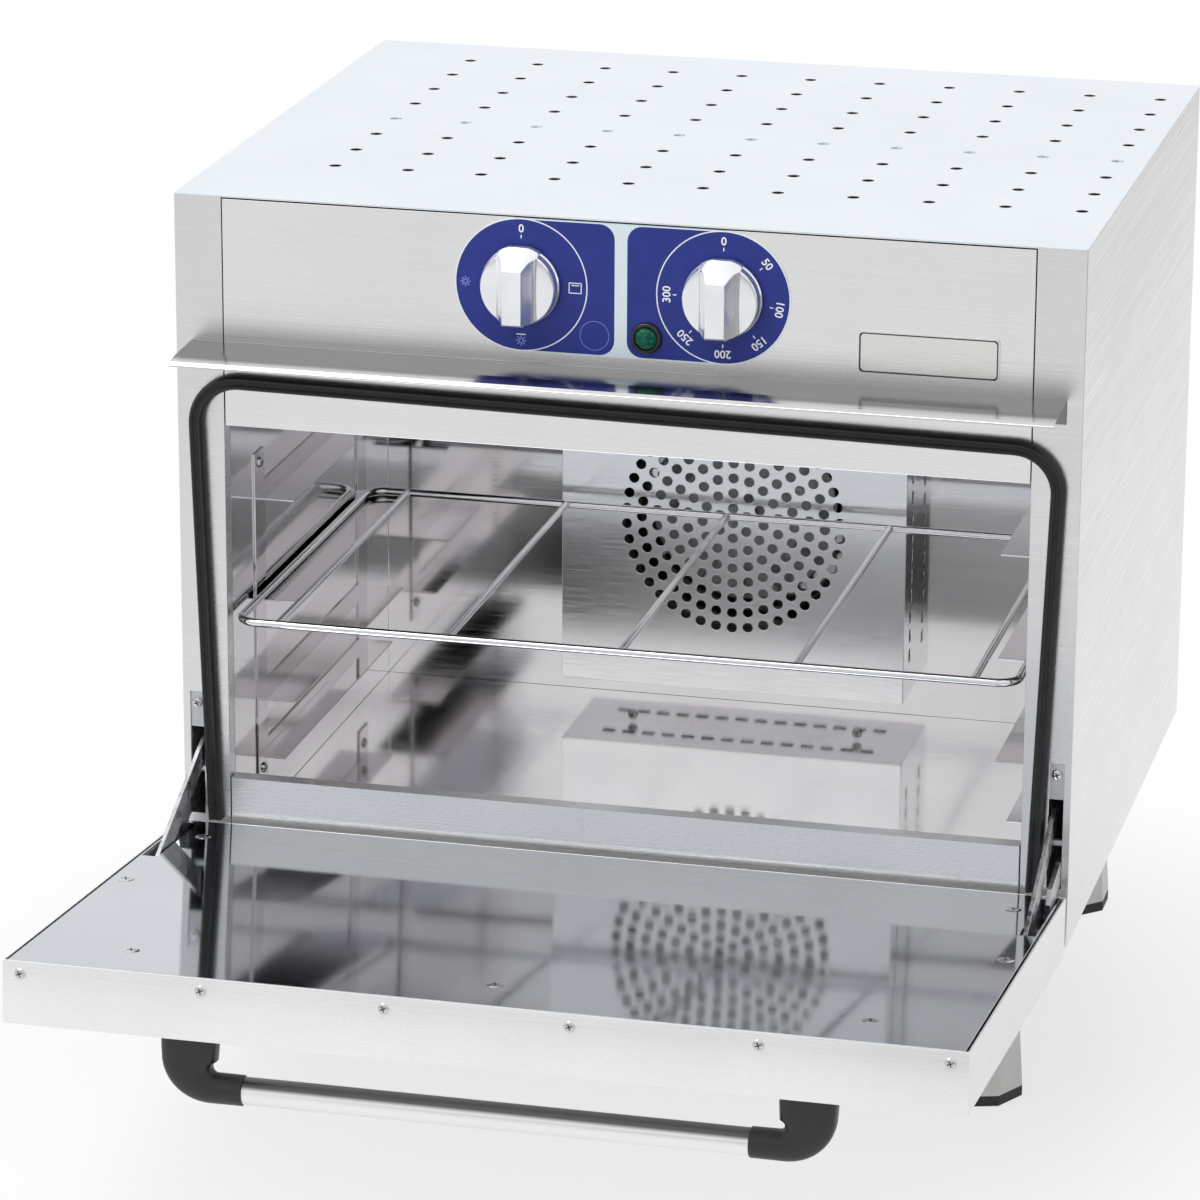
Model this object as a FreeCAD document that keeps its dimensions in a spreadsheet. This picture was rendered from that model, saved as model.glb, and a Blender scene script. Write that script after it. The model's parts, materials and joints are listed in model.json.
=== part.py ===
import FreeCAD, Part
import Sketcher
import math
import os
import re

# Countertop convection oven on four legs, with a drop-down door and one sliding wire rack.
# Millimetres. X runs to the right, Y into the oven and Z up.
# The origin is on the floor, in the middle of the oven's outline with its door open.
# The door is drawn closed and then swung open.

DOC = FreeCAD.newDocument("convection_oven")

# Driving sizes, in millimetres, degrees or counts
SIZES = {
    # case
    "case_width": 600,
    "case_depth": 496,
    "case_height": 467,
    "leg_height": 120,
    "sheet": 1.2,
    "fit_gap": 0.4,
    "roof_overhang": 0.8,
    "roof_gap": 1,
    "pillar_width": 32,
    "seam_gap": 0.6,
    "frame_return": 12,
    "top_flange": 18,
    "rear_flange": 15,
    "fascia_height": 155,
    "sill_height": 67,
    # vents in the roof
    "vent_radius": 4.8,
    "vent_pitch_along": 49,
    "vent_columns": 11,
    "vent_rows": 8,
    "vent_left_margin": 79.7,
    "vent_right_margin": 20.3,
    "vent_front": 100.8,
    "stiffener_width": 34,
    "stiffener_depth": 14,
    # slots in the rear panel
    "louvre_width": 44,
    "louvre_height": 4,
    "louvre_pitch": 16,
    "louvre_rows": 5,
    "louvre_column_pitch": 120,
    "louvre_drop": 60,
    # cavity
    "liner_sheet": 1,
    "rear_space": 109,
    "cavity_rise": 3,
    "floor_height": 18,
    "insulation_wrap": 12,
    # tray guides
    "guide_front": 61,
    "guide_rear_space": 60,
    "guide_sheet": 1.2,
    "guide_ledge": 28.5,
    "guide_upright": 22,
    "guide_lip": 7,
    "guide_top_space": 70,
    "guide_rack_space": 71,
    "guide_low_rise": 41.5,
    "guide_foot_rise": 44,
    "guide_foot_ledge": 20,
    "guide_foot_clearance": 20,
    "guide_strip_rise": 30,
    "guide_screw_rise": 22,
    "guide_screw_drop": 12,
    # wire rack
    "rack_side_gap": 3,
    "rack_cover_gap": 16.75,
    "rack_wire": 2.75,
    "rack_cross_wire": 2.4,
    "rack_corner": 14,
    "rack_bend_steps": 4,
    "rack_end_space": 31,
    "rack_front": 1,
    "rest_gap": 0.3,
    # fan, its cover and the heater
    "fan_shift": 0,
    "fan_lowering": 0.5,
    "cover_floor_gap": 23,
    "cover_depth": 47,
    "cover_rings": 7,
    "cover_ring_pitch": 11.1,
    "cover_hole_radius": 3.7,
    "cover_slot_width": 7,
    "cover_slot_length": 9.5,
    "cover_slot_margin": 29.45,
    "cover_slot_count": 14,
    "impeller_radius": 68,
    "impeller_blade": 26,
    "impeller_blade_width": 24,
    "impeller_blades": 12,
    "impeller_gap": 7,
    "hub_radius": 10,
    "shaft_radius": 4,
    "shaft_clearance": 0.05,
    "shaft_length": 32,
    "shaft_hole_radius": 7,
    "heater_radius": 90,
    "heater_rod": 4,
    "heater_gap": 22,
    "motor_radius": 42,
    "motor_length": 72,
    "motor_boss_radius": 18,
    # control panel
    "dial_spacing": 133.1,
    "dial_drop": 46.5,
    "label_radius": 44.2,
    "label_thickness": 0.6,
    "knob_radius": 26,
    "knob_height": 12,
    "knob_grip_height": 25,
    "knob_grip_width": 15,
    "knob_gap": 1.4,
    "spindle_radius": 3,
    "spindle_hole_radius": 5,
    "switch_width": 44,
    "switch_depth": 34,
    "switch_bush": 8,
    "lamp_shift": 16.5,
    "lamp_drop": 76.2,
    "lamp_radius": 10.4,
    "lamp_rise": 3,
    "lamp_length": 14,
    "lens_radius": 7.2,
    "lamp_barrel_radius": 6,
    "badge_width": 91.3,
    "badge_height": 27.8,
    "badge_edge": 67.8,
    "badge_drop": 75.6,
    "badge_thickness": 1.5,
    "badge_corner": 3.5,
    "badge_rim": 1.5,
    "badge_recess": 0.5,
    # canopy over the door
    "canopy_edge": 10.5,
    "canopy_drop": 98,
    "canopy_flange": 16.4,
    "canopy_shelf": 34,
    "canopy_reach": 50,
    # door seal
    "gasket_width": 9.5,
    "gasket_height": 8.1,
    "gasket_corner": 34,
    "gasket_top_edge": 7,
    "gasket_base_edge": 17,
    "gasket_left_drop": 118.5,
    "gasket_right_drop": 126.5,
    "gasket_base_height": 38.6,
    # door
    "door_gap": 9,
    "door_drop": 112.5,
    "door_thickness": 40.2,
    "door_open_angle": 84.88,
    "pivot_height": 19.3,
    "panel_gap": 1.6,
    "panel_flange": 20,
    "edge_screw_inset": 8,
    "edge_screw_end": 11.25,
    "edge_screw_count": 6,
    "panel_screw_top": 44,
    "panel_screw_pitch": 232,
    "panel_screw_rise": 0.6,
    "hinge_screw_high": 156,
    "hinge_screw_low": 40,
    "handle_reach": 45,
    "handle_drop": 51,
    "handle_edge": 140,
    "handle_radius": 8.75,
    "elbow_seat": 17,
    "elbow_width": 36.5,
    "elbow_depth": 19,
    "elbow_outer_bend": 30,
    "elbow_inner_bend": 8,
    # hinges
    "slot_edge": 5,
    "slot_width": 9.4,
    "slot_base": 40,
    "slot_height": 86,
    "housing_depth": 116,
    "housing_base": 30,
    "housing_height": 104,
    "tab_base": 101,
    "cutout_base": 8,
    "cutout_height": 89,
    "bracket_base": 5,
    "bracket_height": 96,
    "pivot_pin_radius": 3,
    "lug_thickness": 3,
    "lug_boss_radius": 8.2,
    "stay_thickness": 3,
    "stay_width": 15,
    "stay_inset": 1,
    "stay_pin_radius": 2.5,
    "stay_pin_height": 84,
    "stay_pin_depth": 8,
    "stay_seat_height": 83,
    "stay_seat_depth": 3,
    "stay_tail": 6,
    "guide_pin_radius": 2.5,
    # legs
    "leg_edge": 65,
    "leg_front": 36,
    "leg_rear": 402,
    "leg_base_radius": 33.5,
    "leg_top_radius": 26,
    "pad_thickness": 7,
    "leg_turn_front": -5,
    "leg_turn_rear": 22.5,
    "stud_radius": 4,
    "stud_length": 4,
    # fasteners and cable entry
    "screw_head_radius": 3.6,
    "screw_head_height": 1.8,
    "gland_radius": 11,
    "gland_bore": 4.5,
    "gland_thread_radius": 8,
    "gland_length": 20,
    "gland_height": 60,
    "gland_edge": 100,
}

# Places worked out from the driving sizes
PLACES = {
    "half_width": "case_width / 2",
    "door_height": "case_height - door_drop",
    "door_reach": "door_gap + door_thickness / 2 * (1 + cos(door_open_angle * 1deg))"
                  " + (door_height - pivot_height) * sin(door_open_angle * 1deg)",
    "overall_depth": "door_reach + case_depth + gland_length / 2 - sheet",
    "front_y": "door_reach - overall_depth / 2",
    "back_y": "front_y + case_depth",
    "case_top": "leg_height + case_height",
    "roof_under": "case_top - sheet",
    "fascia_top": "roof_under - roof_gap",
    "seam_x": "half_width - pillar_width",
    "vent_pitch_across": "(case_width - vent_left_margin - vent_right_margin) / (vent_columns - 1)",
    "opening_top": "case_top - fascia_height",
    "opening_base": "leg_height + sill_height",
    "floor_top": "leg_height + floor_height",
    "cavity_top": "opening_top + cavity_rise",
    "liner_front": "front_y + frame_return",
    "cavity_back": "back_y - rear_space",
    "frame_half": "seam_x - seam_gap",
    "fan_z": "(floor_top + cavity_top) / 2 - fan_lowering",
    "cover_size": "2 * (fan_z - floor_top - cover_floor_gap)",
    "cover_slot_pitch": "(cover_size - 2 * cover_slot_margin) / (cover_slot_count - 1)",
    "cover_front": "cavity_back - cover_depth",
    "dial_z": "case_top - dial_drop",
    "lamp_z": "case_top - lamp_drop",
    "badge_x": "seam_x - badge_edge",
    "badge_z": "case_top - badge_drop",
    "canopy_half": "half_width - canopy_edge",
    "canopy_z": "case_top - canopy_drop",
    "ledge_top": "cavity_top - guide_top_space",
    "ledge_rack": "ledge_top - guide_rack_space",
    "ledge_foot": "floor_top + guide_foot_rise",
    "ledge_low": "ledge_foot + guide_low_rise",
    "rack_z": "ledge_rack + rest_gap + rack_wire",
    "rack_y": "front_y + rack_front",
    "rack_half": "seam_x - rack_side_gap",
    "rack_depth": "cover_front - rack_cover_gap - rack_y + rack_wire",
    "rack_wire_pitch": "(rack_half - rack_end_space) / 2",
    "door_inner_y": "front_y - door_gap",
    "door_outer_y": "door_inner_y - door_thickness",
    "door_top": "leg_height + door_height",
    "edge_screw_pitch": "(case_width - 2 * edge_screw_end) / (edge_screw_count - 1)",
    "handle_half": "half_width - handle_edge",
    "elbow_inner": "handle_half + elbow_seat",
    "slot_outer": "half_width - slot_edge",
    "slot_inner": "slot_outer - slot_width",
    "pivot_y": "door_inner_y - door_thickness / 2",
    "pivot_z": "leg_height + pivot_height",
    "swing_y": "pivot_y - (pivot_y * cos(door_open_angle * 1deg) - pivot_z * sin(door_open_angle * 1deg))",
    "swing_z": "pivot_z - (pivot_y * sin(door_open_angle * 1deg) + pivot_z * cos(door_open_angle * 1deg))",
    "stay_pin_closed_y": "door_inner_y - stay_pin_depth",
    "stay_pin_closed_z": "leg_height + stay_pin_height",
    "stay_pin_y": "swing_y + stay_pin_closed_y * cos(door_open_angle * 1deg)"
                  " - stay_pin_closed_z * sin(door_open_angle * 1deg)",
    "stay_pin_z": "swing_z + stay_pin_closed_y * sin(door_open_angle * 1deg)"
                  " + stay_pin_closed_z * cos(door_open_angle * 1deg)",
    "stay_run": "front_y + stay_seat_depth - stay_pin_y",
    "stay_rise": "leg_height + stay_seat_height - stay_pin_z",
    "stay_length": "sqrt(stay_run ^ 2 + stay_rise ^ 2) + stay_tail",
    "stay_slope": "stay_rise / stay_run",
    "stay_x": "slot_inner + stay_inset",
    "lug_x": "slot_outer - fit_gap - lug_thickness",
    "cheek_inner": "slot_inner - fit_gap",
    "cheek_outer": "slot_outer - fit_gap / 2",
    "bracket_cheek": "slot_outer + fit_gap",
    "leg_x": "half_width - leg_edge",
    "gland_x": "gland_edge - half_width",
}

NODES = []


def formula(text):
    """Point each size or place that the text names at its cell."""
    def cell(match):
        word = match.group(0)
        if word in SIZES:
            return "Sizes." + word
        if word in PLACES:
            return "Places." + word
        return word
    return re.sub(r"[a-z][a-z_]*[a-z]", cell, str(text))


def fill_sheets():
    """Write the driving sizes and the places that follow from them into two sheets."""
    sizes = DOC.addObject("Spreadsheet::Sheet", "Sizes")
    for row, (word, value) in enumerate(SIZES.items(), 1):
        sizes.set("A%d" % row, word.replace("_", " "))
        sizes.set("B%d" % row, str(value))
        sizes.setAlias("B%d" % row, word)
    DOC.recompute()
    places = DOC.addObject("Spreadsheet::Sheet", "Places")
    for row, (word, text) in enumerate(PLACES.items(), 1):
        places.set("A%d" % row, word.replace("_", " "))
        places.setAlias("B%d" % row, word)
        places.set("B%d" % row, "=" + formula(text).replace("Places.", ""))
        DOC.recompute()
    return sizes, places


SHEET, PLACE = fill_sheets()


def keep(thing, name):
    """Name a finished sub-part and list it for export."""
    thing.Label = name
    NODES.append(thing)
    return thing


def place(thing, x="0", y="0", z="0"):
    """Bind where a piece stands."""
    thing.setExpression("Placement.Base.x", formula(x))
    thing.setExpression("Placement.Base.y", formula(y))
    thing.setExpression("Placement.Base.z", formula(z))
    return thing


def turn(thing, axis, angle):
    """Turn a piece about an axis through its own origin, by an angle in degrees."""
    thing.Placement = FreeCAD.Placement(FreeCAD.Vector(), FreeCAD.Rotation(FreeCAD.Vector(*axis), 1))
    thing.setExpression("Placement.Rotation.Angle", "(" + formula(angle) + ") * 1deg")
    return thing


def swing_open(thing):
    """Swing a piece of the door from closed to open, about the hinge pins."""
    turn(thing, (1, 0, 0), "door_open_angle")
    return place(thing, "0", "swing_y", "swing_z")


def box(name, low, high):
    """A block between two corners."""
    made = DOC.addObject("Part::Box", name)
    for side, start, end in zip(("Length", "Width", "Height"), low, high):
        made.setExpression(side, formula("(%s) - (%s)" % (end, start)))
    return place(made, *low)


FACING = {
    "up": ((1, 0, 0), "0"),
    "front": ((1, 0, 0), "90"),
    "back": ((1, 0, 0), "-90"),
    "right": ((0, 1, 0), "90"),
    "left": ((0, 1, 0), "-90"),
}


def rod(name, radius, length, start, facing):
    """A cylinder from a start point, in one of the six main directions."""
    made = DOC.addObject("Part::Cylinder", name)
    made.setExpression("Radius", formula(radius))
    made.setExpression("Height", formula(length))
    turn(made, *FACING[facing])
    return place(made, *start)


def prism(name, sides, radius, length, start, facing):
    """A regular prism from a start point."""
    made = DOC.addObject("Part::Prism", name)
    made.Polygon = sides
    made.setExpression("Circumradius", formula(radius))
    made.setExpression("Height", formula(length))
    turn(made, *FACING[facing])
    return place(made, *start)


def fuse(name, pieces):
    made = DOC.addObject("Part::MultiFuse", name)
    made.Shapes = pieces
    made.Refine = True
    return made


def cut(name, base, tools):
    made = DOC.addObject("Part::Cut", name)
    made.Base = base
    made.Tool = tools[0] if len(tools) == 1 else group(name + "_tools", tools)
    return made


def group(name, pieces):
    made = DOC.addObject("Part::Compound", name)
    made.Links = pieces
    return made


def mirrored(source, name):
    """The same piece on the other side of the oven."""
    made = DOC.addObject("Part::Mirroring", name)
    made.Source = source
    made.Normal = (1, 0, 0)
    return keep(made, name)


def pair(source, right_name, left_name):
    keep(source, right_name)
    return source, mirrored(source, left_name)


def origin_plane(body, role):
    for feature in body.Origin.OriginFeatures:
        if feature.Role == role:
            return feature
    raise ValueError("no origin plane " + role)


def new_body(name):
    body = DOC.addObject("PartDesign::Body", name)
    return body


def new_sketch(body, role, shift="0"):
    """A sketch on one of the body's own origin planes, shifted along its normal."""
    sketch = body.newObject("Sketcher::SketchObject", body.Name + "_sketch")
    sketch.AttachmentSupport = [(origin_plane(body, role), "")]
    sketch.MapMode = "FlatFace"
    sketch.setExpression("AttachmentOffset.Base.z", formula(shift))
    return sketch


def outline(sketch, corners):
    """A closed outline whose every corner is held by its two distances from the origin."""
    first = sketch.GeometryCount
    count = len(corners)
    for place_in_ring in range(count):
        start = 2 * math.pi * place_in_ring / count
        end = 2 * math.pi * (place_in_ring + 1) / count
        sketch.addGeometry(Part.LineSegment(
            FreeCAD.Vector(math.cos(start), math.sin(start), 0),
            FreeCAD.Vector(math.cos(end), math.sin(end), 0)), False)
    for place_in_ring in range(count):
        following = first + (place_in_ring + 1) % count
        sketch.addConstraint(Sketcher.Constraint("Coincident", first + place_in_ring, 2, following, 1))
    for place_in_ring, (across, up) in enumerate(corners):
        for kind, text in (("DistanceX", across), ("DistanceY", up)):
            held = Sketcher.Constraint(kind, -1, 1, first + place_in_ring, 1, 1.0)
            index = sketch.addConstraint(held)
            sketch.setExpression("Constraints[%d]" % index, formula(text))


def rectangle(low_x, low_y, high_x, high_y):
    return [(low_x, low_y), (high_x, low_y), (high_x, high_y), (low_x, high_y)]


def regular(sides, radius, x="0", y="0"):
    """Corners of a regular outline round a centre."""
    corners = []
    for corner in range(sides):
        angle = "%g * 1deg" % (360 * (corner + 0.5) / sides)
        corners.append(("(%s) + %s * cos(%s)" % (x, radius, angle),
                        "(%s) + %s * sin(%s)" % (y, radius, angle)))
    return corners


def pad(body, sketch, length, reverse=False, both=False):
    made = body.newObject("PartDesign::Pad", body.Name + "_pad")
    made.Profile = sketch
    made.setExpression("Length", formula(length))
    made.Reversed = reverse
    made.Midplane = both
    return made


def pocket(body, sketch, length, reverse=False):
    made = body.newObject("PartDesign::Pocket", body.Name + "_pocket")
    made.Profile = sketch
    made.setExpression("Length", formula(length))
    made.Reversed = reverse
    return made


def folded(name, role, corners, length, shift="0", both=False, reverse=False):
    """A sheet-metal section run out to a length."""
    body = new_body(name)
    sketch = new_sketch(body, role, shift)
    outline(sketch, corners)
    pad(body, sketch, length, reverse, both)
    return body


def rounded_path(points, radius):
    """A wire of straight runs joined by tangent arcs."""
    points = [FreeCAD.Vector(*point) for point in points]
    count = len(points)
    arcs = {}
    for index in range(1, count - 1):
        before = (points[index - 1] - points[index]).normalize()
        after = (points[index + 1] - points[index]).normalize()
        half = before.getAngle(after) / 2
        inward = (before + after).normalize()
        centre = points[index] + inward * (radius / math.sin(half))
        reach = radius / math.tan(half)
        arcs[index] = Part.Arc(points[index] + before * reach,
                               centre - inward * radius,
                               points[index] + after * reach)
    edges = []
    for index in range(count - 1):
        start = arcs[index].EndPoint if index in arcs else points[index]
        end = arcs[index + 1].StartPoint if index + 1 in arcs else points[index + 1]
        edges.append(Part.LineSegment(start, end).toShape())
        if index + 1 in arcs:
            edges.append(arcs[index + 1].toShape())
    return Part.Wire(edges)


def set_shape(name, shape):
    made = DOC.addObject("Part::Feature", name)
    made.Shape = shape
    return made


# Case

def side_panels():
    """Each side is one folded sheet: front pillar, side wall and rear flange."""
    corners = [
        ("seam_x", "front_y"),
        ("half_width", "front_y"),
        ("half_width", "back_y"),
        ("half_width - rear_flange", "back_y"),
        ("half_width - rear_flange", "back_y - sheet"),
        ("half_width - sheet", "back_y - sheet"),
        ("half_width - sheet", "front_y + sheet"),
        ("seam_x + sheet", "front_y + sheet"),
        ("seam_x + sheet", "front_y + frame_return"),
        ("seam_x", "front_y + frame_return"),
    ]
    sheet_body = folded("side_sheet", "XY_Plane", corners, "case_height - sheet", "leg_height")
    slot = box("hinge_slot",
               ("slot_inner", "front_y - sheet", "leg_height + slot_base"),
               ("slot_outer", "front_y + 2 * sheet", "leg_height + slot_base + slot_height"))
    pair(cut("side_panel", sheet_body, [slot]), "side_panel_right", "side_panel_left")


def roof_panel():
    """The roof is a flat sheet with a grid of vent holes."""
    body = new_body("roof_panel")
    sketch = new_sketch(body, "XY_Plane", "roof_under")
    outline(sketch, rectangle("-half_width", "front_y - roof_overhang", "half_width", "back_y"))
    pad(body, sketch, "sheet")
    holes = new_sketch(body, "XY_Plane", "case_top + sheet")
    outline(holes, regular(4, "vent_radius",
                           "vent_left_margin - half_width",
                           "front_y + vent_front"))
    vent = pocket(body, holes, "3 * sheet")
    across = body.newObject("PartDesign::LinearPattern", "vents_across")
    across.Direction = (holes, ["H_Axis"])
    across.setExpression("Length", formula("(vent_columns - 1) * vent_pitch_across"))
    across.setExpression("Occurrences", formula("vent_columns"))
    along = body.newObject("PartDesign::LinearPattern", "vents_along")
    along.Direction = (holes, ["V_Axis"])
    along.setExpression("Length", formula("(vent_rows - 1) * vent_pitch_along"))
    along.setExpression("Occurrences", formula("vent_rows"))
    grid = body.newObject("PartDesign::MultiTransform", "vent_grid")
    grid.Originals = [vent]
    grid.Transformations = [across, along]
    body.Tip = grid
    keep(body, "roof_panel")


def roof_stiffener():
    """A channel under the roof, behind the fourth row of vents."""
    corners = [
        ("-stiffener_width / 2", "roof_under"),
        ("-stiffener_width / 2", "roof_under - stiffener_depth"),
        ("-stiffener_width / 2 + sheet", "roof_under - stiffener_depth"),
        ("-stiffener_width / 2 + sheet", "roof_under - sheet"),
        ("stiffener_width / 2 - sheet", "roof_under - sheet"),
        ("stiffener_width / 2 - sheet", "roof_under - stiffener_depth"),
        ("stiffener_width / 2", "roof_under - stiffener_depth"),
        ("stiffener_width / 2", "roof_under"),
    ]
    body = folded("roof_stiffener", "YZ_Plane", corners,
                  "case_width - 2 * sheet - fit_gap", both=True)
    place(body, "0", "front_y + vent_front + 3 * vent_pitch_along", "0")
    keep(body, "roof_stiffener")


def rear_panel():
    """The back closes the case, with louvre slots by the motor and a hole for the cable gland."""
    body = new_body("rear_sheet")
    sketch = new_sketch(body, "XZ_Plane", "-(back_y - 2 * sheet)")
    outline(sketch, rectangle("-half_width + sheet + fit_gap", "leg_height + sheet",
                              "half_width - sheet - fit_gap", "roof_under"))
    pad(body, sketch, "sheet", reverse=True)
    slots = new_sketch(body, "XZ_Plane", "-(back_y - 3 * sheet)")
    outline(slots, rectangle("-louvre_column_pitch - louvre_width / 2", "fan_z + louvre_drop",
                             "-louvre_column_pitch + louvre_width / 2",
                             "fan_z + louvre_drop + louvre_height"))
    slot = pocket(body, slots, "3 * sheet")
    across = body.newObject("PartDesign::LinearPattern", "louvres_across")
    across.Direction = (slots, ["H_Axis"])
    across.setExpression("Length", formula("2 * louvre_column_pitch"))
    across.Occurrences = 3
    down = body.newObject("PartDesign::LinearPattern", "louvres_down")
    down.Direction = (slots, ["V_Axis"])
    down.Reversed = True
    down.setExpression("Length", formula("(louvre_rows - 1) * louvre_pitch"))
    down.setExpression("Occurrences", formula("louvre_rows"))
    grid = body.newObject("PartDesign::MultiTransform", "louvre_grid")
    grid.Originals = [slot]
    grid.Transformations = [across, down]
    body.Tip = grid
    hole = rod("gland_hole", "gland_thread_radius + shaft_clearance", "4 * sheet",
               ("gland_x", "back_y - 3 * sheet", "leg_height + gland_height"), "back")
    keep(cut("rear_panel", body, [hole]), "rear_panel")


LEGS = [
    ("leg_front_left", "-leg_x", "front_y + leg_front", "leg_turn_front"),
    ("leg_front_right", "leg_x", "front_y + leg_front", "leg_turn_front"),
    ("leg_rear_left", "-leg_x", "front_y + leg_rear", "leg_turn_rear"),
    ("leg_rear_right", "leg_x", "front_y + leg_rear", "leg_turn_rear"),
]


def base_panel():
    """The base carries the four legs on their studs."""
    plate = box("base_plate",
                ("-half_width + sheet + fit_gap", "front_y + sheet", "leg_height"),
                ("half_width - sheet - fit_gap", "back_y - 2 * sheet", "leg_height + sheet"))
    holes = [prism(name + "_hole", 8, "stud_radius", "3 * sheet", (x, y, "leg_height - sheet"), "up")
             for name, x, y, _ in LEGS]
    notches = [box("frame_notch_" + side, (low, "front_y", "leg_height - sheet"),
                   (high, "liner_front + fit_gap", "leg_height + 2 * sheet"))
               for side, low, high in (("right", "seam_x - fit_gap", "half_width"),
                                       ("left", "-half_width", "-seam_x + fit_gap"))]
    keep(cut("base_panel", plate, holes + notches), "base_panel")


def legs():
    """Eight-sided tapered legs, each with a stud at its top and a rubber pad below."""
    for name, x, y, angle in LEGS:
        rings = []
        for ring, radius, height in (("base", "leg_base_radius", "pad_thickness"),
                                     ("top", "leg_top_radius", "leg_height")):
            polygon = DOC.addObject("Part::RegularPolygon", name + "_" + ring)
            polygon.Polygon = 8
            polygon.setExpression("Circumradius", formula(radius))
            turn(polygon, (0, 0, 1), angle)
            rings.append(place(polygon, x, y, height))
        taper = DOC.addObject("Part::Loft", name + "_taper")
        taper.Sections = rings
        taper.Solid = True
        taper.Ruled = True
        taper.Linearize = True
        stud = prism(name + "_stud", 8, "stud_radius", "stud_length", (x, y, "leg_height"), "up")
        keep(fuse(name, [taper, stud]), name)
        pad_name = name.replace("leg_", "foot_pad_")
        rubber = DOC.addObject("Part::Prism", pad_name)
        rubber.Polygon = 8
        rubber.setExpression("Circumradius", formula("leg_base_radius"))
        rubber.setExpression("Height", formula("pad_thickness"))
        turn(rubber, (0, 0, 1), angle)
        keep(place(rubber, x, y, "0"), pad_name)


def control_fascia():
    """The fascia folds back under the roof, and back and up over the mouth of the cavity."""
    corners = [
        ("front_y", "opening_top"),
        ("front_y", "fascia_top"),
        ("front_y + top_flange", "fascia_top"),
        ("front_y + top_flange", "fascia_top - sheet"),
        ("front_y + sheet", "fascia_top - sheet"),
        ("front_y + sheet", "opening_top + sheet"),
        ("liner_front - sheet", "opening_top + sheet"),
        ("liner_front - sheet", "cavity_top"),
        ("liner_front", "cavity_top"),
        ("liner_front", "opening_top"),
    ]
    body = folded("fascia_sheet", "YZ_Plane", corners, "2 * frame_half", both=True)
    holes = panel_holes("fascia", "front_y - sheet", "4 * sheet")
    keep(cut("control_fascia", body, holes), "control_fascia")


def front_sill():
    """The sill under the mouth folds back and down to the cavity floor."""
    corners = [
        ("front_y", "leg_height"),
        ("front_y + sheet", "leg_height"),
        ("front_y + sheet", "opening_base - sheet"),
        ("liner_front - sheet", "opening_base - sheet"),
        ("liner_front - sheet", "floor_top"),
        ("liner_front", "floor_top"),
        ("liner_front", "opening_base"),
        ("front_y", "opening_base"),
    ]
    keep(folded("front_sill", "YZ_Plane", corners, "2 * frame_half", both=True), "front_sill")


def canopy_strip():
    """A drip canopy over the top edge of the closed door, with its flange on the fascia."""
    corners = [
        ("front_y", "canopy_z"),
        ("front_y - canopy_shelf", "canopy_z - 1"),
        ("front_y - canopy_reach + 3", "canopy_z - 2.6"),
        ("front_y - canopy_reach", "canopy_z - 4.4"),
        ("front_y - canopy_reach", "canopy_z - 5.6"),
        ("front_y - canopy_reach + 2.6", "canopy_z - 3.9"),
        ("front_y - canopy_shelf", "canopy_z - 1 - sheet"),
        ("front_y - sheet", "canopy_z - sheet"),
        ("front_y - sheet", "canopy_z - canopy_flange"),
        ("front_y", "canopy_z - canopy_flange"),
    ]
    body = folded("canopy_strip", "YZ_Plane", corners, "2 * canopy_half", both=True)
    keep(body, "canopy_strip")


def case_screws():
    """Screws hold the rear panel to the side flanges."""
    places = []
    for side in ("-", ""):
        for share in ("0.1", "0.5", "0.9"):
            places.append((side + "(half_width - rear_flange / 2)", "back_y",
                           "leg_height + case_height * " + share))
    screw_set("case_screws", places, "back")


# Screws

def screw_set(name, places, facing, door=False, rise="screw_head_height"):
    """Identical screw heads as one group."""
    heads = [prism("%s_%d" % (name, number), 6, "screw_head_radius", rise, start, facing)
             for number, start in enumerate(places, 1)]
    made = group(name, heads)
    if door:
        swing_open(made)
    return keep(made, name)


# Control panel

def panel_holes(name, start, depth):
    """Cutters for the two spindles and the lamp."""
    centres = [("-dial_spacing / 2", "dial_z", "spindle_hole_radius"),
               ("dial_spacing / 2", "dial_z", "spindle_hole_radius"),
               ("lamp_shift", "lamp_z", "lamp_barrel_radius")]
    return [prism("%s_hole_%d" % (name, number), 8, radius, depth, (x, start, z), "back")
            for number, (x, z, radius) in enumerate(centres, 1)]


def dial_label():
    """One thin label lies behind both knobs and the lamp."""
    low = "front_y - label_thickness"
    middle = box("label_middle", ("-dial_spacing / 2", low, "dial_z - label_radius"),
                 ("dial_spacing / 2", "front_y", "dial_z + label_radius"))
    rounds = [prism("label_round_" + side, 24, "label_radius", "label_thickness", (x, low, "dial_z"), "back")
              for side, x in (("left", "-dial_spacing / 2"), ("right", "dial_spacing / 2"))]
    keep(cut("dial_label", fuse("label_blank", [middle] + rounds),
             panel_holes("label", "front_y - 2 * label_thickness", "4 * label_thickness")), "dial_label")


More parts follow.
